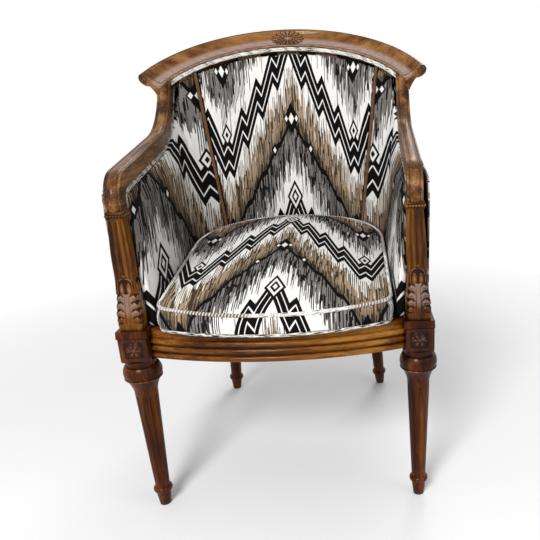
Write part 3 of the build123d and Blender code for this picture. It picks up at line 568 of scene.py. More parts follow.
def flame_stitch(name):
    g = Graph(name)
    u, v = g.cloth_point()
    t = g.math("PINGPONG", u, HALF_PERIOD)
    steps = g.math("FLOOR", g.mul(t, 1 / STEP))
    rest = g.sub(t, g.mul(steps, STEP))
    tooth = g.math("MINIMUM", g.mul(rest, STEEP), g.add(g.mul(g.sub(STEP, rest), TOOTH_BACK), SLOPE * STEP))
    stepped = g.add(v, g.add(g.mul(steps, SLOPE * STEP), tooth))
    smooth = g.add(v, g.mul(t, SLOPE))

    column = g.math("FLOOR", g.mul(u, 1 / THREAD))
    dash = g.math("FLOOR", g.add(g.mul(v, 1 / DASH), g.mul(g.random(column, 9.0), 5.0)))
    odd = g.math("MODULO", g.math("ABSOLUTE", column), 2.0)
    drift = g.noise(g.vector(g.mul(column, 7.13), g.mul(v, 24.0), 0.0), 1.0, 1.0, 0.5)
    strand = g.add(g.mul(g.random(column, 3.0), STRAND_OWN), g.mul(g.ramp(drift, 0.27, 0.73), STRAND_DRIFT))
    strand = g.add(strand, g.mul(odd, STRAND_ODD))

    drop = g.math("FRACT", g.mul(smooth, -1 / REPEAT))
    dashes = g.ramp(g.random(column, dash), 0.35, 0.65)
    ground = g.mix(dashes, g.curve(drop, DARK_GROUND), g.curve(drop, LIGHT_GROUND))
    shows_ivory = g.ramp(g.sub(g.curve(drop, IVORY_SHARES), strand), -0.04, 0.04)
    cloth = g.mix(shows_ivory, ground, IVORY)

    def from_line(height, drop_place):
        """Distance below the nearest line of a kind, in metres."""
        share = g.math("FRACT", g.add(g.mul(height, -1 / REPEAT), 0.5 - drop_place))
        return g.mul(g.sub(share, 0.5), REPEAT)

    def ink(value, limit, colour):
        nonlocal cloth
        cloth = g.mix(g.within(value, limit, EDGE), cloth, colour)

    jogged = g.add(smooth, g.mul(g.sub(stepped, smooth), 0.3))
    ink(g.math("ABSOLUTE", from_line(jogged, THIN_DROP)), THIN_HALF, BLACK)
    bolt = g.math("ABSOLUTE", from_line(stepped, 0.0))
    ink(bolt, BOLT_HALF, BLACK)
    ink(g.math("ABSOLUTE", g.sub(bolt, INLAY_PLACE)), INLAY_HALF, IVORY)

    off_peak = g.math("GREATER_THAN", t, HALF_PERIOD / 2)
    off_valley = g.sub(1.0, off_peak)
    level = g.add(v, g.mul(off_peak, SLOPE * HALF_PERIOD))
    fold = g.math("MINIMUM", t, g.sub(HALF_PERIOD, t))

    def lozenges(across, height, sizes, hidden=0.0):
        """Nested lozenges, from the outermost in; hidden is 1 where they don't show."""
        reach = g.add(g.math("ABSOLUTE", across), g.mul(g.math("ABSOLUTE", height), 1 / LOZENGE_TALL))
        for size, colour in sizes:
            ink(g.add(reach, hidden), size, colour)

    height = from_line(level, 0.0)
    lozenges(fold, height, PEAK_LOZENGES, off_peak)
    lozenges(g.sub(fold, FLANK_ACROSS), g.sub(height, FLANK_DOWN), FLANK_DOTS, off_peak)
    lozenges(fold, g.add(height, VALLEY_RISE), VALLEY_LOZENGES, off_valley)
    height = from_line(level, THIN_DROP)
    lozenges(fold, height, THIN_LOZENGES)
    lozenges(g.sub(fold, THIN_DOT_ACROSS), height, THIN_DOTS)
    height = from_line(g.add(v, SLOPE * KNOT_ACROSS), THIN_DROP)
    lozenges(g.sub(t, KNOT_ACROSS), height, KNOTS)

    # Painted shade: ambient occlusion darkens the cloth toward black in the hollows between the cushion, arms
    # and back.
    hollow = g.node("ShaderNodeAmbientOcclusion", samples=6)
    hollow.inputs["Distance"].default_value = HOLLOW_REACH
    cloth = g.mix(g.ramp(hollow.outputs["AO"], 0.10, 0.66, HOLLOW_SHADE, 0.0), cloth, BLACK)
    weave = g.noise(g.vector(g.mul(u, 900.0), g.mul(v, 700.0), 0.0), 1.0, 1.0)
    g.bump(g.add(g.mul(weave, 0.6), g.mul(strand, 0.4)), 0.25, 0.6 * MM)
    return g.finish(cloth, 0.9, Specular_IOR_Level=0.06)


flame = flame_stitch("flame_stitch")

# %% [markdown]
# Welts are cords covered with narrow strips of the same cloth, so they show only streaks of it. The whole
# pattern could be wrapped round the cord, but at this width it would be noise, so slanted streaks are
# drawn. The top cord of the cushion is two strands laid together: its twist is in the mesh, and its
# stripes come once for each strand.

# %% Cloth of the welts


def welt_stripes(name, light, twist=0.0):
    """The same cloth cut for welts: thin streaks along the cord, with some stretches of brown twist."""
    g = Graph(name)
    along, around = g.cloth_point()
    slant = g.add(g.mul(along, 60.0), g.mul(around, 260.0))
    streaks = g.add(g.noise(g.vector(slant, g.mul(around, 800.0), 0.0), 1.0, 2.0), light)
    cloth = g.curve(streaks, [(0.40, BLACK), (0.44, UMBER), (0.47, TAN), (0.49, IVORY)])
    if twist:
        turn = g.math("FRACT", g.add(g.mul(along, 1 / twist), g.mul(around, 50.0)))
        cords = g.curve(turn, [(0.0, TAN_DARK), (0.15, UMBER), (0.45, TAN), (0.75, IVORY), (0.95, TAN_DARK)])
        stretch = g.noise(g.vector(g.mul(along, 5.0), 0.0, 7.0), 1.0, 1.0)
        cloth = g.mix(g.ramp(stretch, 0.46, 0.52), cloth, cords)
    g.bump(g.noise(g.vector(g.mul(along, 900.0), g.mul(around, 900.0), 0.0), 1.0), 0.2, 0.5 * MM)
    return g.finish(cloth, 0.9, Specular_IOR_Level=0.15)


ROPE_PITCH = 11 * MM
pale_welt = welt_stripes("spotted_welt_pale", 0.01)
welt_cloth = welt_stripes("spotted_welt", -0.04)
rope_cloth = welt_stripes("twisted_welt", 0.05, ROPE_PITCH / 2)
BRAID_DARK = (0.100, 0.045, 0.018)
BRAID_LIGHT = (0.200, 0.105, 0.050)
braid = mottled("seam_braid", BRAID_DARK, BRAID_LIGHT, 500.0, 0.85, Specular_IOR_Level=0.15)
print("materials ready")

# %% [markdown]
# ## Stage
# The camera stands where the photograph was taken from. It could be placed by eye, but its place,
# direction and focal length were solved from the chair's own lines, so that the render can be laid beside
# the photograph. A pale floor and soft lights stand in for the studio. The world shines at full strength
# only for the camera and for reflections, which keeps the background white without more light on the
# chair.

# %% Camera
EYE = Vector((0.141, -1.216, 0.723))
FORWARD = Vector((0.010, 0.941, -0.339)).normalized()
LEVEL = Vector((0.999, -0.022, -0.032))
PHOTO_PIXELS = 540
FOCAL_PIXELS = 598
CENTRE_PIXELS = (365, 309)
sideways = (LEVEL - FORWARD * LEVEL.dot(FORWARD)).normalized()
upward = sideways.cross(FORWARD)
lens = bpy.data.cameras.new("camera")
lens.sensor_width = 36.0
lens.lens = lens.sensor_width * FOCAL_PIXELS / PHOTO_PIXELS
lens.shift_x = 0.5 - CENTRE_PIXELS[0] / PHOTO_PIXELS
lens.shift_y = CENTRE_PIXELS[1] / PHOTO_PIXELS - 0.5
camera = bpy.data.objects.new("camera", lens)
camera.matrix_world = Matrix.Translation(EYE) @ Matrix((sideways, upward, -FORWARD)).transposed().to_4x4()
scene.collection.objects.link(camera)
scene.camera = camera
print("camera at", [round(value, 3) for value in EYE])

# %% Lights and floor


def area_light(name, place, target, size, power):
    lamp = bpy.data.lights.new(name, "AREA")
    lamp.shape = "DISK"
    lamp.size = size
    lamp.energy = power
    obj = bpy.data.objects.new(name, lamp)
    obj.location = place
    obj.rotation_euler = (Vector(target) - Vector(place)).to_track_quat("-Z", "Y").to_euler()
    scene.collection.objects.link(obj)


area_light("key", (-0.6, -2.3, 2.0), (0, 0, 0.45), 1.0, 64)
area_light("fill", (1.9, -1.1, 1.5), (0, 0, 0.45), 1.4, 5)
area_light("back", (0.5, 1.9, 2.0), (0, 0.1, 0.5), 1.2, 18)

FLOOR_HALF = 6
FLOOR_FADE = (0.7, 1.5)
floor_points = Build()
floor_points.grid([[(x, y, 0) for x in (-FLOOR_HALF, FLOOR_HALF)] for y in (-FLOOR_HALF, FLOOR_HALF)])
floor = floor_points.make("floor")
paint = Graph("floor")
across, deep, _ = paint.object_point()
distance = paint.math("SQRT", paint.add(paint.mul(across, across), paint.mul(deep, deep)))
paint.link(paint.ramp(distance, *FLOOR_FADE, 1.0, 0.0), paint.shader.inputs["Alpha"])
floor.data.materials.append(paint.finish((0.95, 0.95, 0.95), 0.9, Specular_IOR_Level=0.1))
print(len(bpy.data.lights), "lights and a floor")

# %% White surroundings
AMBIENT = 0.44
world = bpy.data.worlds.new("studio")
world.use_nodes = True
scene.world = world
sky = world.node_tree
seen = sky.nodes.new("ShaderNodeLightPath")
strength = sky.nodes.new("ShaderNodeMapRange")
rays = seen.outputs["Is Camera Ray"]
for kind in ("Is Glossy Ray", "Is Transmission Ray"):
    either = sky.nodes.new("ShaderNodeMath")
    either.operation = "MAXIMUM"
    sky.links.new(rays, either.inputs[0])
    sky.links.new(seen.outputs[kind], either.inputs[1])
    rays = either.outputs[0]
sky.links.new(rays, strength.inputs["Value"])
strength.inputs["To Min"].default_value = AMBIENT
strength.inputs["To Max"].default_value = 1.0
sky.nodes["Background"].inputs["Color"].default_value = (1, 1, 1, 1)
sky.links.new(strength.outputs["Result"], sky.nodes["Background"].inputs["Strength"])
scene.view_settings.view_transform = "Standard"

# %% [markdown]
# ## Show-wood frame and hidden parts
# The legs, rails, arms and crest keep their CAD shapes. They could be modelled again, but the solids already
# have the real outlines, so they only get a finish: each piece of show-wood has its own grain direction and
# tones, whose differences are painted light, and the hidden frame, springs and deck have flecked materials of
# two tones.

# %% Dress the CAD nodes
looks = {
    "frame_wood": mottled("frame_wood", (0.42, 0.24, 0.11), (0.56, 0.35, 0.17), 60.0, 0.7),
    "deck_cloth": mottled("deck_cloth", (0.014, 0.013, 0.012), (0.050, 0.046, 0.043), 700.0, 0.95),
    "jute": mottled("jute", (0.20, 0.11, 0.045), (0.34, 0.21, 0.10), 500.0, 0.95),
    "padding": mottled("padding", (0.70, 0.66, 0.57), (0.86, 0.83, 0.75), 90.0, 0.95),
    "dust_cloth": mottled("dust_cloth", (0.005, 0.005, 0.005), (0.016, 0.016, 0.017), 900.0, 0.95),
    "spring_steel": mottled("spring_steel", (0.28, 0.28, 0.29), (0.42, 0.42, 0.43), 120.0, 0.4, Metallic=1.0),
    "glide": mottled("glide", (0.008, 0.007, 0.007), (0.020, 0.017, 0.016), 400.0, 0.55),
    "flame_stitch": flame,
    "spotted_welt": welt_cloth,
    "seam_braid": braid,
    "walnut": walnut_up,
}
wood_of_node = {
    "crest_rail": walnut_crest,
    "crest_rosette": walnut_rosette,
    "front_seat_rail": walnut_rail,
    "back_seat_rail": walnut_rail,
    "arm_rail": walnut_arm,
    "seat_rail": walnut_side,
    "leg": walnut_leg,
}
for part in frame["record"]["subparts"]:
    finish = looks[part["material_slot"]]
    if finish is walnut_up:
        finish = next((wood for key, wood in wood_of_node.items() if key in part["node"]), walnut_up)
    slots = nodes[part["node"]].data.materials
    slots.clear()
    slots.append(finish)

# %% [markdown]
# ## The tub in numbers
# The back and the arms form one padded tub. Its inside and outside faces are raked walls between a plan
# line low down and one higher up, as in the CAD source. Blender could unwrap the pads, but the pattern
# would be cut and turned, so the cloth is laid by these lines: `wall_places` gives a point's distance
# round the tub from the middle of the back, and its distance outward.

# %% Tub lines
TUB_LOW = 335 * MM
TUB_HIGH = 850 * MM
INSIDE = (np.array([200, 195, 230, 170]) * MM, np.array([250, 286, 322, 105]) * MM)
OUTSIDE = (np.array([260, 247, 338, 148]) * MM, np.array([264, 308.5, 326, 120]) * MM)
SEAM_LOW = 143 * MM
SEAM_HIGH = 208 * MM


def wall_shape(plan, height):
    """Half width, corner centre, corner radius, back centre, back radius and the turn where they meet."""
    share = (height - TUB_LOW) / (TUB_HIGH - TUB_LOW)
    half, back, back_radius, corner_radius = (low + share * (high - low) for low, high in zip(*plan))
    corner_x = half - corner_radius
    centre = back - back_radius
    corner_y = centre + np.sqrt((back_radius - corner_radius) ** 2 - corner_x**2)
    join = np.arctan2(corner_x, corner_y - centre)
    return half, corner_x, corner_y, corner_radius, centre, back_radius, join


def wall_places(points, plan):
    """Each point's distance round the tub from the middle of the back, and its distance outward."""
    x = np.abs(points[:, 0])
    y = points[:, 1]
    half, corner_x, corner_y, corner_radius, centre, back_radius, join = wall_shape(plan, points[:, 2])
    turn = np.arctan2(x, y - centre)
    corner_turn = np.clip(np.arctan2(x - corner_x, y - corner_y), join, pi / 2)
    round_corner = back_radius * join + corner_radius * (corner_turn - join)
    on_back = turn <= join
    on_side = ~on_back & (y < corner_y)
    along = np.where(on_back, back_radius * turn, round_corner + np.where(on_side, corner_y - y, 0))
    from_back = np.hypot(x, y - centre) - back_radius
    from_corner = np.hypot(x - corner_x, y - corner_y) - corner_radius
    out = np.where(on_back, from_back, from_corner)
    return np.sign(points[:, 0]) * along, np.where(on_side, x - half, out)


def wall_y(plan, x, height):
    """How far back the wall lies at a distance from the middle."""
    half, corner_x, corner_y, corner_radius, centre, back_radius, join = wall_shape(plan, height)
    if atan2(x, sqrt(back_radius**2 - x**2)) <= join:
        return centre + sqrt(back_radius**2 - x**2)
    return corner_y + sqrt(corner_radius**2 - (x - corner_x) ** 2)


# %% [markdown]
# ## Padding by cloth simulation
# The inside back and arms are stuffed and drawn in at their seams. They could be sculpted, but cloth
# under pressure swells as stuffing does. A pad is copied from its CAD solid, remeshed to even squares and
# blown up a little. Its back and its seams are held, and no point may move further than a cap, which
# leaves room for the cushion.

# %% Stuffing
SIM_FRAMES = 16


def stuffed(obj, voxel, held, pressure, cap, calm=4):
    """Remesh a copied solid, blow it up as cloth where it isn't held, and calm the result."""
    remesh = obj.modifiers.new("remesh", "REMESH")
    remesh.mode = "VOXEL"
    remesh.voxel_size = voxel
    bake(obj)
    soften = obj.modifiers.new("soften", "SMOOTH")
    soften.iterations = calm
    bake(obj)
    rest = points_of(obj.data)
    group = obj.vertex_groups.new(name="held")
    group.add([int(i) for i in np.nonzero(held(rest))[0]], 1.0, "REPLACE")
    cloth = obj.modifiers.new("cloth", "CLOTH")
    cloth.settings.vertex_group_mass = "held"
    cloth.settings.use_pressure = True
    cloth.settings.uniform_pressure_force = pressure
    cloth.settings.effector_weights.gravity = 0
    cloth.settings.quality = 4
    cloth.point_cache.frame_start = 1
    cloth.point_cache.frame_end = SIM_FRAMES
    for step in range(1, SIM_FRAMES + 1):
        scene.frame_set(step)
    blown = obj.evaluated_get(bpy.context.evaluated_depsgraph_get())
    move = points_of(blown.data) - rest
    obj.modifiers.clear()
    obj.vertex_groups.clear()
    reach = np.maximum(np.linalg.norm(move, axis=1, keepdims=True), 1e-9)
    put_points(obj.data, rest + move * np.minimum(1, cap / reach))
    scene.frame_set(1)
    soften = obj.modifiers.new("soften", "SMOOTH")
    soften.iterations = 2
    bake(obj)
    obj.data.shade_smooth()
    return obj


# %% Pads of the tub
PAD_HELD = 4.5 * MM
PAD_VOXEL = 4.2 * MM
PAD_PRESSURE = 3.0
PAD_SWELL = 6 * MM


def deep_in_wall(points):
    return wall_places(points, INSIDE)[1] > PAD_HELD


ARM_FOLD = 210 * MM
ARM_STRETCH = 0.5
BACK_BOLT = 852 * MM
ARM_BOLT = 803 * MM
for node in ("inside_back_pad", "left_inside_arm_pad", "right_inside_arm_pad"):
    pad = stuffed(copy_of(node, node + "_cloth"), PAD_VOXEL, deep_in_wall, PAD_PRESSURE, PAD_SWELL)
    form = points_of(pad.data)
    around, deep = wall_places(form, INSIDE)
    on_top = normals_of(pad.data)[:, 2] > 0.6
    over_edge = np.maximum(deep, 0)
    up = form[:, 2] + np.where(on_top, over_edge, 0)
    if "arm" in node:
        reach = np.abs(around) + np.where(on_top, 0, over_edge)
        lay_cloth(pad, np.sign(around) * (HALF_PERIOD + ARM_STRETCH * (reach - ARM_FOLD)), up - ARM_BOLT)
    else:
        lay_cloth(pad, around, up - BACK_BOLT)
    settle(pad, FRAME, "flame_stitch", flame, node)

# %% [markdown]
# The outside panels are tight cloth without stuffing, so they aren't simulated. Their large faces are
# split finer, because the cloth's coordinates have to follow the curve of the tub.

# %% Outside panels
PANEL_EDGE = 25 * MM
OUTSIDE_BOLT = 780 * MM
for node in ("outside_back_panel", "left_outside_arm_panel", "right_outside_arm_panel"):
    panel = copy_of(node, node + "_cloth")
    finer(panel, PANEL_EDGE, 3)
    form = points_of(panel.data)
    around, _ = wall_places(form, OUTSIDE)
    lay_cloth(panel, around, form[:, 2] - OUTSIDE_BOLT)
    panel.data.shade_smooth()
    panel.data.set_sharp_from_angle(angle=radians(40))
    settle(panel, FRAME, "flame_stitch", flame, node)

# %% [markdown]
# ## Welts of the tub
# A brown cord covers each seam between the back and the arms. A double cord of the cloth itself runs
# along the wood: under each arm from the knuckle to the crest, and under the crest. Such cords could be
# bevelled curves. They are tubes of points here, because their cloth needs coordinates along and round
# the cord.

# %% Arm and crest lines


def arm_line(step=6):
    """The arm's path as points and directions, in millimetres back and up from the collar."""
    line = []
    place = ARM_CORNERS[0]
    for corner, following, radius in zip(ARM_CORNERS[1:], ARM_CORNERS[2:], ARM_RADII):
        before = (corner - place).normalized()
        after = (following - corner).normalized()
        turn = before.angle_signed(after)
        reach = radius * abs(np.tan(turn / 2))
        first = corner - before * reach
        count = max(2, int((first - place).length / step))
        line += [(place.lerp(first, i / count), before) for i in range(count)]
        hand = -1 if turn > 0 else 1
        centre = first + hand * radius * Vector((-before.y, before.x))
        count = max(3, int(radius * abs(turn) / step))
        for i in range(count + 1):
            share = i / count
            spin = Matrix.Rotation(-turn * share, 2)
            line.append((centre + spin @ (first - centre), spin @ before))
        place = corner + after * reach
    line.append((ARM_CORNERS[-1], after))
    return line


def arm_point(side, place, out):
    """A point of the arm's plane, moved outward, on the left or right."""
    back = Vector((sin(ARM_TOE_OUT), cos(ARM_TOE_OUT), 0))
    outward = Vector((cos(ARM_TOE_OUT), -sin(ARM_TOE_OUT), 0))
    point = ARM_FOOT + (back * place.x + outward * out) * MM + Vector((0, 0, place.y * MM))
    return Vector((side * point.x, point.y, point.z))


def arm_path(side, under, out, top):
    """A line along the arm, below its middle line and outward of it, as far as a height."""
    path = []
    for place, along in arm_line():
        point = arm_point(side, place + under * Vector((along.y, -along.x)), out)
        if point.z < top:
            path.append(point)
    return path


def crest_point(turn, along, out):
    """A point of the crest: a turn from the middle, up its face from the lower edge, and out of it."""
    radius = CREST_EDGE[0] + along * cos(CREST_FLARE) - out * sin(CREST_FLARE)
    rise = CREST_EDGE[1] + along * sin(CREST_FLARE) + out * cos(CREST_FLARE)
    back = Vector((0, cos(CREST_TILT), sin(CREST_TILT)))
    axis = Vector((0, -sin(CREST_TILT), cos(CREST_TILT)))
    outward = back * cos(turn) + Vector((1, 0, 0)) * sin(turn)
    return CREST_MIDDLE + (outward * radius + axis * rise) * MM


print(len(arm_line()), "points along each arm")

# %% Seam cords and double welts
SEAM_CORD = 3.6 * MM
SEAM_CORD_PROUD = 2.4 * MM
for name, side in SIDES:
    low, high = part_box(f"{name}_seam_welt")
    cord = Build()
    path = []
    for height in np.linspace(low.z + 2 * MM, high.z - 2 * MM, 60):
        x = SEAM_LOW + (SEAM_HIGH - SEAM_LOW) * (height - TUB_LOW) / (TUB_HIGH - TUB_LOW)
        path.append((side * x, wall_y(INSIDE, x, height) - SEAM_CORD_PROUD, height))
    cord.tube(path, SEAM_CORD, 12)
    settle(cord.make(f"{name}_seam_cord"), FRAME, "seam_braid", braid, f"{name}_seam_welt")

WELT = 2.5 * MM
ARM_WELTS_UNDER = (17.8, 22.2)
ARM_WELTS_OUT = -10.2
CREST_WELTS_ALONG = (-2.6, -7.0)
CREST_WELTS_OUT = -2.4
for name, side in SIDES:
    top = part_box(f"{name}_arm_gimp")[1].z - 3 * MM
    welt = Build()
    for under in ARM_WELTS_UNDER:
        welt.tube(arm_path(side, under, ARM_WELTS_OUT, top), WELT, 10)
    settle(welt.make(f"{name}_double_welt"), FRAME, "spotted_welt", welt_cloth, f"{name}_arm_gimp")

welt = Build()
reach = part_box("crest_gimp")[1].x / (CREST_EDGE[0] * MM)
limit = asin(min(0.99, reach))
turns = np.linspace(-limit, limit, 90)
for along in CREST_WELTS_ALONG:
    welt.tube([crest_point(turn, along, CREST_WELTS_OUT) for turn in turns], WELT, 10)
settle(welt.make("crest_double_welt"), FRAME, "spotted_welt", pale_welt, "crest_gimp")

# %% [markdown]
# ## Loose cushion
# The seat is a loose boxed cushion with a cord along its upper and lower seams. It could be a subdivided
# box, but a blown-up cloth gives a truer crown. The outer form is blown up with its two welts and its
# underside held, so the seams stay straight and the top crowns between them. The cloth runs from the back
# over the top and down the front of the boxing.

# %% Seam lines of the cushion
CUSHION_FRONT = -320.6 * MM
CUSHION_CORNER = -276 * MM
CUSHION_RISE = radians(7)
CUSHION_HEIGHT = 36 * MM
CUSHION_BASE = 357.3 * MM
CUSHION_PLAN = 357 * MM
CUSHION_ROOM = 6.5 * MM
CUSHION_WELT = 3.2 * MM
CUSHION_SEAM_IN = 2 * MM
CUSHION_SIDE = 200 * MM
CUSHION_VOXEL = 4.6 * MM
CUSHION_PRESSURE = 4.0
CUSHION_SWELL = 9 * MM
CUSHION_BOLT = 116 * MM
CUSHION_REACH = 0.99
CUSHION_FALL = 0.20


def cushion_line(rise, height, step=1.5 * MM, rounding=24):
    """The cushion's seam: the tub's plan line with a bowed front, on a plane that rises towards the back."""
    half, corner_x, corner_y, corner_radius, centre, back_radius, join = wall_shape(INSIDE, CUSHION_PLAN)
    half, corner_radius, back_radius = (value - CUSHION_ROOM for value in (half, corner_radius, back_radius))
    front = CUSHION_FRONT + CUSHION_SEAM_IN
    corner = CUSHION_CORNER + CUSHION_SEAM_IN
    bow = (half**2 + (corner - front) ** 2) / (2 * (corner - front))
    bow_turn = asin(half / bow)
    arcs = (
        (0, front + bow, bow, 0, bow_turn, -1),
        (corner_x, corner_y, corner_radius, pi / 2, join, 1),
        (0, centre, back_radius, join, 0, 1),
    )
    right = []
    for x, y, radius, first, last, up in arcs:
        count = int(radius * abs(last - first) / step)
        spins = np.linspace(first, last, count)
        right += [(x + radius * sin(spin), y + up * radius * cos(spin)) for spin in spins]
        if up < 0:
            right += [(half, level) for level in np.arange(corner + step, corner_y, step)]
    line = np.array(right + [(-x, y) for x, y in right[-2:0:-1]])
    shifts = range(-rounding // 2, rounding // 2 + 1)
    line = sum(np.roll(line, shift, axis=0) for shift in shifts) / len(shifts)
    middle = CUSHION_BASE + height - CUSHION_FRONT * np.tan(rise)
    return [(x, y * cos(rise), middle + y * sin(rise)) for x, y in line]


welt_lines = {
    "cushion_top_welt": cushion_line(CUSHION_RISE, CUSHION_HEIGHT),
    "cushion_bottom_welt": cushion_line(0.0, CUSHION_WELT),
}
welt_tree = KDTree(sum(len(line) for line in welt_lines.values()))
for index, place in enumerate(together(welt_lines.values())):
    welt_tree.insert(place, index)
welt_tree.balance()
cushion_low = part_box("cushion_cover")[0]


def cushion_held(points):
    near = np.array([welt_tree.find(p)[2] < CUSHION_WELT + 2 * MM for p in points])
    return near | (points[:, 2] < cushion_low.z + 1.5 * MM)


# %% Cushion
cushion = copy_of("cushion_cover", "cushion_cloth", largest=True)
stuffed(cushion, CUSHION_VOXEL, cushion_held, CUSHION_PRESSURE, CUSHION_SWELL)
form = points_of(cushion.data)
normals = normals_of(cushion.data)
seam_height = cushion_low.z + CUSHION_HEIGHT + (form[:, 1] - cushion_low.y) * np.tan(CUSHION_RISE)
below = np.maximum(seam_height - form[:, 2], 0)
on_front = (np.abs(normals[:, 1]) > np.abs(normals[:, 0])) | (below <= 0)
across = np.where(on_front, form[:, 0], np.sign(form[:, 0]) * (CUSHION_SIDE + form[:, 1] - cushion_low.y))
folds = HALF_PERIOD - np.abs(np.mod(across, PERIOD) - HALF_PERIOD)
lay_cloth(cushion, across, (form[:, 1] - below - CUSHION_BOLT) * CUSHION_REACH + CUSHION_FALL * folds)
settle(cushion, CUSHION, "flame_stitch", flame, "cushion_cover")

# %% Cords of the cushion
for node, line in welt_lines.items():
    welt = Build()
    rope = "top" in node
    welt.tube(line, CUSHION_WELT, 12, closed=True, pitch=ROPE_PITCH if rope else 0.0, groove=0.07)
    settle(welt.make(node + "_cord"), CUSHION, "spotted_welt", rope_cloth if rope else welt_cloth, node)

# %% [markdown]
# ## Carving
# The posts, leg blocks and crest are carved. A bump in the material could draw such relief, but the outline
# would stay flat and the mesh would lack it, so the relief is cut into grids of points. Each point keeps a
# value of painted light, so the finish can paint shade into the cuts and a highlight onto the high spots. A
# rosette is a closed patch whose rim lies under the wood.

# %% Carving tools


def smooth_step(value, low, high):
    share = np.clip((value - low) / (high - low), 0, 1)
    return share * share * (3 - 2 * share)


def through(place, places, values):
    """A smooth line through given values."""
    slopes = np.gradient(values, places)
    i = int(np.clip(np.searchsorted(places, place) - 1, 0, len(places) - 2))
    width = places[i + 1] - places[i]
    s = (place - places[i]) / width
    return (
        values[i] * (1 + 2 * s) * (1 - s) ** 2
        + values[i + 1] * s * s * (3 - 2 * s)
        + width * (slopes[i] * s * (1 - s) ** 2 - slopes[i + 1] * s * s * (1 - s))
    )


def patch(build, place, relief, reach_a, reach_b, count_a, count_b, depth):
    """A closed relief: place(a, b, height) puts a point of the patch on the wood."""
    columns = np.linspace(-reach_a, reach_a, count_a)
    levels = np.linspace(-reach_b, reach_b, count_b)
    cuts = [[relief(a, b) for a in columns] for b in levels]
    front = [[place(a, b, cut[0]) for a, cut in zip(columns, row)] for b, row in zip(levels, cuts)]
    back = [[place(a, b, -depth) for a in columns] for b in levels]
    build.grid(front, relief_light=[[cut[1] for cut in row] for row in cuts])
    build.grid([row[::-1] for row in back])
    rim = [front[0], front[-1][::-1], [row[0] for row in front][::-1], [row[-1] for row in front]]
    hem = [back[0], back[-1][::-1], [row[0] for row in back][::-1], [row[-1] for row in back]]
    for top_line, low_line in zip(rim, hem):
        build.grid([low_line, top_line])


# %% [markdown]
# The arm posts are made again whole: a swelling square shaft with an acanthus leaf, an arch and three
# flutes on each face, under a collar. The solid's own faces have too few points for such relief, so rings
# of points are stacked from the foot to the collar.

# %% Relief of the arm posts
POST_LOW = 361.0
POST_HIGH = 549.0
POST_FOOT = (242.0, -256.0)
POST_TOP = (236.0, -266.0)
POST_SHARES = np.array([0.0, 0.13, 0.30, 0.46, 0.68, 1.0])
POST_WIDTHS = np.array([40.0, 43.0, 36.0, 32.0, 32.0, 26.0])
POST_DEPTHS = np.array([42.0, 46.0, 38.0, 34.0, 33.0, 29.0])
LEAF_LOW = 375.0
LEAF_HIGH = 426.0
LEAF_LOBES = (0.99, 0.99, 0.99, 0.97, 0.88, 0.68, 0.40)
LOBE_ROWS = 4.0
LOBE_START = 1.7
LOBE_SWEEP = 0.75
LOBE_CURL = 0.42
LOBE_STANDS = 2.3
RIB_STANDS = 2.8
RIB_HALF = 0.10
CUT_PLACE = 0.20
CUT_HALF = 0.05
VEIN_PLACE = 0.42
VEIN_HALF = 0.08
ARCH_MIDDLE = 440.0
ARCH_RADIUS = 12.5
ARCH_LINE = 1.4
ARCH_STANDS = 2.4
CURL_PLACE = (5.6, 433.0)
CURL_HALF = (5.0, 11.0)
CURL_STANDS = 2.2
FLUTE_LOW = 452.0
FLUTE_LOW_MIDDLE = 460.0
FLUTE_DEPTH = 1.7
FLUTE_HIGH = 545.0
FLUTE_PLACES = (-0.60, 0.0, 0.60)
FLUTE_HALF = 0.25
CARVE = 2.8
COLLAR_DARK = 0.5
FACE_COLUMNS = 44
POST_ROWS = 200


def leaf(t, rise):
    """Acanthus leaf: lobes that rise beside a middle rib, part and curl over, as height and painted light."""
    out = abs(t)
    apart = smooth_step(out, 0.08, 0.42)
    order = LOBE_ROWS * (rise - LOBE_SWEEP * out**0.6 + LOBE_CURL * out**2) + LOBE_START
    index = int(np.clip(order, 0, len(LEAF_LOBES) - 1))
    share = order - np.floor(order)
    side = min(1.0, 2 * abs(share - 0.5) * (0.30 + 0.86 * apart))
    body = smooth_step(LEAF_LOBES[index] - 0.32 * side**2 - out, 0, 0.10)
    lobe = body * (0.2 + LOBE_STANDS * (1 - side**2) ** 0.55)
    rib = RIB_STANDS * np.exp(-((t / RIB_HALF) ** 2)) * smooth_step(1.05 - rise, 0, 0.1)
    beside = np.exp(-(((out - CUT_PLACE) / CUT_HALF) ** 2)) * smooth_step(0.95 - rise, 0, 0.2)
    stands = max(lobe - 0.8 * beside, rib)
    # Painted highlight on the upper lobes and the rib; painted shade in the low cuts, beside the rib and
    # along the veins.
    highlight_rise = smooth_step(rise, 0.10, 0.45)
    painted_highlight = highlight_rise * max(0.46 * smooth_step(lobe, 1.3, 2.2), 0.5 * smooth_step(rib, 1.6, 2.4))
    vein = 0.45 * np.exp(-(((share - VEIN_PLACE) / VEIN_HALF) ** 2)) * smooth_step(out, 0.3, 0.5)
    low = 0.95 * (1 - smooth_step(stands, 0.3, 1.5))
    dark = max(low, 0.40 * beside * (1 - smooth_step(rib, 0.5, 1.5)))
    return stands - 0.6 * vein, dark + vein - painted_highlight


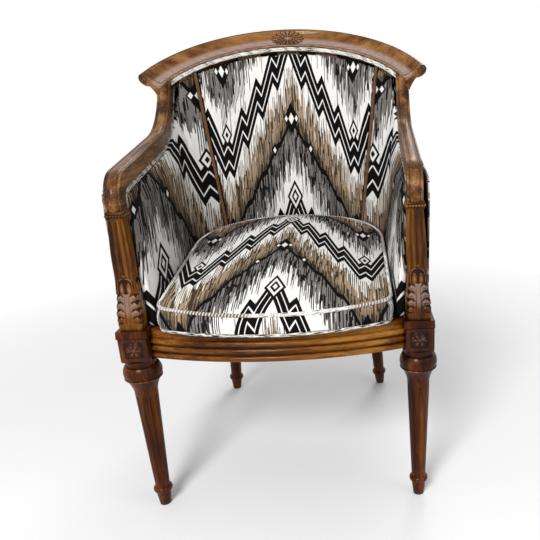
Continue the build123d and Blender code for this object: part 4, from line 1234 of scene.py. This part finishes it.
def post_relief(t, height, width):
    """How far the post's face stands out at a place, and its painted shade, or painted highlight where
    negative.
    """
    if LEAF_LOW < height < LEAF_HIGH:
        stands, cut = leaf(t, (height - LEAF_LOW) / (LEAF_HIGH - LEAF_LOW))
        return stands - CARVE, cut
    across = abs(t) * width / 2
    spread = np.hypot(across, max(0.0, height - ARCH_MIDDLE))
    if height >= LEAF_HIGH and spread < ARCH_RADIUS + 2:
        band = ARCH_STANDS * np.exp(-(((spread - ARCH_RADIUS) / ARCH_LINE) ** 2))
        curl_across = (across - CURL_PLACE[0]) / CURL_HALF[0]
        curl_up = (height - CURL_PLACE[1]) / CURL_HALF[1]
        stands = max(band, CURL_STANDS * sqrt(max(0.0, 1 - curl_across**2 - curl_up**2)))
        # Painted shade where the arch lies low, painted highlight on its band and curls.
        low = 1 - smooth_step(stands, 0.2, 1.5)
        if spread > ARCH_RADIUS:
            return stands - ARCH_STANDS, 0.3 * low
        return stands - ARCH_STANDS, 0.9 * low - 0.4 * smooth_step(stands, 1.8, 2.3)
    groove = 0.0
    for middle in FLUTE_PLACES:
        low = FLUTE_LOW if middle else FLUTE_LOW_MIDDLE
        past = max(low - height, height - FLUTE_HIGH, 0)
        off = np.hypot((t - middle) / FLUTE_HALF, past / (FLUTE_HALF * width / 2))
        groove += sqrt(max(0.0, 1 - off * off))
    # Painted shade in the flutes.
    return -FLUTE_DEPTH * groove, 0.75 * groove**4


def collar_tone(t, height, width):
    """The collar is smooth, and darkened all over."""
    return 0.0, COLLAR_DARK


# %% Arm posts


def square_ring(centre, width, depth, height, columns, side, sharp=9, relief=None):
    """A rounded square of points with relief on every face, and each point's painted shade or highlight."""
    ring = []
    cuts = []
    for face in range(4):
        for column in range(columns):
            t = -1 + 2 * column / columns
            a, b = ((t, -1), (1, t), (-t, 1), (-1, -t))[face]
            pull = ((abs(a) ** sharp) + (abs(b) ** sharp)) ** (-1 / sharp)
            stands, cut = relief(t, height, depth if face % 2 else width) if relief else (0.0, 0.0)
            x = a * width / 2 * pull + (0, stands, 0, -stands)[face]
            y = b * depth / 2 * pull + (-stands, 0, stands, 0)[face]
            ring.append((side * (centre[0] + x) * MM, (centre[1] + y) * MM, height * MM))
            cuts.append(cut)
    return ring, cuts


# Height, width and depth of each ring of the collar.
COLLAR = (
    (549.0, 26.5, 29.5),
    (549.6, 28.5, 31.5),
    (552.0, 28.5, 31.5),
    (552.4, 27.0, 30.0),
    (557.4, 27.0, 30.0),
    (557.8, 29.5, 32.5),
    (560.2, 29.5, 32.5),
    (561.0, 28.0, 31.0),
)
COLLAR_SHARP = 14
for name, side in SIDES:
    post = Build()
    rings = []
    for s in np.linspace(0, 1, POST_ROWS):
        centre = [foot + s * (top - foot) for foot, top in zip(POST_FOOT, POST_TOP)]
        width = through(s, POST_SHARES, POST_WIDTHS)
        depth = through(s, POST_SHARES, POST_DEPTHS)
        height = POST_LOW + s * (POST_HIGH - POST_LOW)
        rings.append(square_ring(centre, width, depth, height, FACE_COLUMNS, side, relief=post_relief))
    for height, width, depth in COLLAR:
        ring = square_ring(POST_TOP, width, depth, height, FACE_COLUMNS, side, COLLAR_SHARP, collar_tone)
        rings.append(ring)
    post.grid([ring for ring, _ in rings], closed=True, relief_light=[cuts for _, cuts in rings])
    total = 4 * FACE_COLUMNS
    post.faces.append(tuple(range(total)))
    post.faces.append(tuple(len(post.points) - total + i for i in range(total)))
    made = post.make(f"{name}_carved_post")
    made.data.set_sharp_from_angle(angle=radians(50))
    settle(made, FRAME, "walnut", walnut_up, f"{name}_arm_post")

# %% [markdown]
# A string of small beads runs round each collar. Beads repeat along a path, so a Geometry Nodes tree sets
# them, with the spacing and the size as its inputs. The result is made a plain mesh, because the export
# drops instances.

# %% Beads on a path


def bead_group():
    tree = bpy.data.node_groups.new("Beads on a path", "GeometryNodeTree")
    tree.interface.new_socket("Path", in_out="INPUT", socket_type="NodeSocketGeometry")
    for name, kind in (("Spacing", "Float"), ("Radius", "Float"), ("Material", "Material")):
        tree.interface.new_socket(name, in_out="INPUT", socket_type=f"NodeSocket{kind}")
    tree.interface.new_socket("Beads", in_out="OUTPUT", socket_type="NodeSocketGeometry")
    start = tree.nodes.new("NodeGroupInput")
    end = tree.nodes.new("NodeGroupOutput")
    spots = tree.nodes.new("GeometryNodeCurveToPoints")
    spots.mode = "LENGTH"
    ball = tree.nodes.new("GeometryNodeMeshIcoSphere")
    ball.inputs["Subdivisions"].default_value = 3
    place = tree.nodes.new("GeometryNodeInstanceOnPoints")
    real = tree.nodes.new("GeometryNodeRealizeInstances")
    paint = tree.nodes.new("GeometryNodeSetMaterial")
    for source, target in (
        (start.outputs["Path"], spots.inputs["Curve"]),
        (start.outputs["Spacing"], spots.inputs["Length"]),
        (start.outputs["Radius"], ball.inputs["Radius"]),
        (spots.outputs["Points"], place.inputs["Points"]),
        (ball.outputs["Mesh"], place.inputs["Instance"]),
        (place.outputs["Instances"], real.inputs["Geometry"]),
        (real.outputs["Geometry"], paint.inputs["Geometry"]),
        (start.outputs["Material"], paint.inputs["Material"]),
        (paint.outputs["Geometry"], end.inputs["Beads"]),
    ):
        tree.links.new(source, target)
    return tree


beads = bead_group()


def bead_string(name, path, spacing, radius, material):
    """Beads along a closed path, as a plain mesh."""
    line = bpy.data.curves.new(name, "CURVE")
    line.dimensions = "3D"
    spline = line.splines.new("POLY")
    spline.points.add(len(path) - 1)
    for spot, point in zip(spline.points, path):
        spot.co = (*point, 1)
    spline.use_cyclic_u = True
    guide = bpy.data.objects.new(name + "_path", line)
    scene.collection.objects.link(guide)
    modifier = guide.modifiers.new("beads", "NODES")
    modifier.node_group = beads
    given = {"Spacing": spacing, "Radius": radius, "Material": material}
    for item in beads.interface.items_tree:
        if item.name in given:
            modifier[item.identifier] = given[item.name]
    made = bpy.data.meshes.new_from_object(guide.evaluated_get(bpy.context.evaluated_depsgraph_get()))
    bpy.data.objects.remove(guide)
    obj = bpy.data.objects.new(name, made)
    scene.collection.objects.link(obj)
    obj.data.shade_smooth()
    return obj


# %% Beads of the collars
BEAD_RADIUS = 2.3 * MM
BEAD_SPACING = 4.8 * MM
BEAD_RING = (28.0, 31.0, 554.9)
for name, side in SIDES:
    ring, _ = square_ring(POST_TOP, *BEAD_RING, 12, side, COLLAR_SHARP)
    # Painted highlight: the beads take the paler crest walnut, standing for their glints.
    string = bead_string(f"{name}_collar_beads", ring, BEAD_SPACING, BEAD_RADIUS, walnut_rosette)
    settle(string, FRAME, "walnut", walnut_rosette)

# %% [markdown]
# Two fine lines are cut along each arm, and a ring runs round the bulb of each front leg. A Boolean could cut
# the lines, but at this width a thin cord half sunk in the wood, near-black as painted shade, reads the same,
# and the CAD mesh stays as it is. The ring takes the lighter post walnut as a painted highlight on the dark
# leg.

# %% Grooves of the arms and rings of the bulbs
ARM_GROOVE = 8.06
ARM_GROOVE_UNDER = -11.50
ARM_GROOVE_SHORT = 24 * MM
GROOVE = 0.8 * MM
BULB_RING = 31.2
BULB_RING_HEIGHT = 268.6
BULB_RING_WIRE = 1.3 * MM
for name, side in SIDES:
    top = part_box(f"{name}_arm_rail")[1].z - ARM_GROOVE_SHORT
    grooves = Build()
    for out in (-ARM_GROOVE, ARM_GROOVE):
        grooves.tube(arm_path(side, ARM_GROOVE_UNDER, out, top), GROOVE, 6)
    settle(grooves.make(f"{name}_arm_grooves"), FRAME, "walnut", groove_shade)

    # Painted highlight: the ring takes the lighter post walnut on the dark leg.
    ring = Build()
    turns = np.linspace(0, tau, 72, endpoint=False)
    foot = Vector((side * POST_FOOT[0], POST_FOOT[1], BULB_RING_HEIGHT)) * MM
    round_bulb = [foot + BULB_RING * MM * Vector((cos(t), sin(t), 0)) for t in turns]
    ring.tube(round_bulb, BULB_RING_WIRE, 10, closed=True)
    settle(ring.make(f"{name}_bulb_ring"), FRAME, "walnut", walnut_up)

# %% [markdown]
# Each front leg starts in a square block with a carved flower in a framed panel, on its front and on its
# outer side. One relief serves both faces.

# %% Rosettes of the leg blocks
BLOCK_HALF = 24.0
BLOCK_HALF_HEIGHT = 22.0
BLOCK_MIDDLE = 326.0
BLOCK_PATCH = (23.8, 21.8)
BLOCK_POINTS = (97, 89)
BLOCK_BEDDED = 1.2
FLOWER_REACH = 15.4


def block_relief(a, b):
    """A raised border round a panel with a six-petalled flower, with painted shade in the low panel and a
    painted highlight on the high petals.
    """
    rim = max(abs(a), abs(b) * BLOCK_HALF / BLOCK_HALF_HEIGHT)
    border = 1.7 * smooth_step(rim, 15.6, 16.4) * (1 - smooth_step(rim, 22.4, 23.6))
    spread = np.hypot(a, b)
    turn = atan2(b, a)
    petal = abs(cos(3 * turn))
    flower = smooth_step(FLOWER_REACH * (0.70 + 0.30 * petal**0.5) - spread, 0, 1.4)
    flower *= 0.3 + 1.8 * petal**0.5 * sin(pi * min(1.0, spread / FLOWER_REACH) ** 0.9) ** 0.6
    button = 2.5 * sqrt(max(0.0, 1 - (spread / 3.8) ** 2))
    stands = max(border, flower, button, 0.3)
    dark = 0.80 * (1 - smooth_step(stands, 0.4, 1.3)) * (1 - smooth_step(rim, 16.0, 17.0))
    return (stands if rim < 23.6 else -0.3), dark - 0.15 * smooth_step(stands, 1.6, 2.2)


for name, side in SIDES:
    flowers = Build()

    def on_front(a, b, h):
        return (side * (POST_FOOT[0] + a) * MM, (POST_FOOT[1] - BLOCK_HALF - h) * MM, (BLOCK_MIDDLE + b) * MM)

    def on_side(a, b, h):
        return (side * (POST_FOOT[0] + BLOCK_HALF + h) * MM, (POST_FOOT[1] + a) * MM, (BLOCK_MIDDLE + b) * MM)

    for place in (on_front, on_side):
        patch(flowers, place, block_relief, *BLOCK_PATCH, *BLOCK_POINTS, BLOCK_BEDDED)
    settle(flowers.make(f"{name}_block_rosettes"), FRAME, "walnut", walnut_leg)

# %% [markdown]
# The crest has a daisy in the middle of its face, a fine line round the face and a scroll on each ear. The
# daisy is a patch that follows the hollow of the face. The line and the scrolls are thin near-black cords of
# painted shade, as on the arms.

# %% Rosette of the crest
ROSETTE_ALONG = 24.0
ROSETTE_HALF = (40.0, 21.0)
ROSETTE_PATCH = (42.0, 22.0)
ROSETTE_POINTS = (181, 95)
ROSETTE_BEDDED = 1.0
COVE_MIDDLE = 22.5
COVE_HALF = 18.5
BORDER_LOW = 6.5
BORDER_HIGH = 46.0
BORDER_TURN = 1.8
SCROLL_TURNS = 1.7
SCROLL_OUTER = 10.6
SCROLL_INNER = 2.2
SCROLL_PROUD = 0.001
SCROLL_WIRE = 1.0 * MM


def crest_out(along):
    """The crest's face: a cove, then the roll over the top."""
    if along <= CREST_FACE:
        return -CREST_COVE * max(0.0, 1 - ((along - COVE_MIDDLE) / COVE_HALF) ** 2)
    return sqrt(max(0.0, CREST_NOSE**2 - (along - CREST_FACE) ** 2)) - CREST_NOSE


def daisy(a, b):
    """Sixteen rounded petals round a raised button, with painted shade between the petals and a painted
    highlight on the high parts.
    """
    spread = np.hypot(a / ROSETTE_HALF[0], b / ROSETTE_HALF[1])
    turn = atan2(b / ROSETTE_HALF[1], a / ROSETTE_HALF[0])
    petal = abs(cos(8 * turn))
    edge = 0.80 + 0.18 * petal**0.6
    dome = petal**0.8 * sin(pi * min(1.0, spread) ** 0.8)
    flower = smooth_step(edge - spread, 0, 0.08) * (0.2 + 3.4 * dome)
    button = 4.6 * sqrt(max(0.0, 1 - (spread / 0.25) ** 2))
    stands = max(flower, button)
    dark = (1 - smooth_step(stands, 0.5, 2.0)) * (1 - smooth_step(spread, 1.0, 1.04))
    return stands - 0.3, dark - 0.25 * smooth_step(stands, 2.4, 3.4)


def on_crest(a, b, h):
    along = ROSETTE_ALONG + b
    return crest_point(a / (CREST_EDGE[0] + along), along, crest_out(along) + h)


flower = Build()
patch(flower, on_crest, daisy, *ROSETTE_PATCH, *ROSETTE_POINTS, ROSETTE_BEDDED)
settle(flower.make("crest_daisy"), FRAME, "walnut", walnut_rosette, "crest_rosette")

# %% Border line and scrolls of the crest
border = Build()
edge_turn = radians(CREST_TURN - BORDER_TURN)
turns = np.linspace(-edge_turn, edge_turn, 120)
rises = np.linspace(BORDER_LOW, BORDER_HIGH, 14)
loop = [crest_point(turn, BORDER_LOW, crest_out(BORDER_LOW)) for turn in turns]
loop += [crest_point(edge_turn, along, crest_out(along)) for along in rises[1:-1]]
loop += [crest_point(turn, BORDER_HIGH, crest_out(BORDER_HIGH)) for turn in turns[::-1]]
loop += [crest_point(-edge_turn, along, crest_out(along)) for along in rises[-2:0:-1]]
border.tube(loop, GROOVE, 6, closed=True)
for _, side in SIDES:
    turn = side * (radians(CREST_TURN) + SCROLL_PROUD)
    scroll = []
    for share in np.linspace(0, 1, 60):
        spin = share * SCROLL_TURNS * tau
        radius = SCROLL_OUTER + (SCROLL_INNER - SCROLL_OUTER) * share
        scroll.append(crest_point(turn, CREST_FACE + radius * sin(spin), radius * cos(spin) - CREST_NOSE))
    border.tube(scroll, SCROLL_WIRE, 8)
settle(border.make("crest_border_line"), FRAME, "walnut", groove_shade)

# %% [markdown]
# ## Cloth of the seat deck and underside
# The deck shows when the cushion is lifted, and the dust cover from below. Both are thin sheets stretched
# over the seat frame. They could be simulated, but tight cloth hardly moves, so a smooth swell is added
# to the CAD sheets: the deck rises a little over its pad, and the dust cover sags a little.

# %% Deck cover and dust cover
SHEET_EDGE = 20 * MM
SHEET_HEM = 40 * MM
for node, slot, swell, rests_on in (
    ("deck_cover", "deck_cloth", 5 * MM, "deck_pad"),
    ("dust_cover", "dust_cloth", -6 * MM, "front_seat_rail"),
):
    sheet = copy_of(node, node + "_cloth")
    finer(sheet, SHEET_EDGE, 4)
    low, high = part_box(node)
    spread = points_of(sheet.data)
    reach_x = np.clip(np.abs(spread[:, 0]) / (high.x - SHEET_HEM), 0, 1)
    reach_y = np.clip(np.abs(2 * spread[:, 1] - low.y - high.y) / (high.y - low.y - 2 * SHEET_HEM), 0, 1)
    spread[:, 2] += swell * (1 - reach_x**2) * (1 - reach_y**2)
    put_points(sheet.data, spread)
    sheet.data.shade_smooth()
    sheet.data.set_sharp_from_angle(angle=radians(40))
    settle(sheet, FRAME, slot, looks[slot], node)

# %% [markdown]
# ## Finish

# %% Finish
bpy.context.view_layer.update()
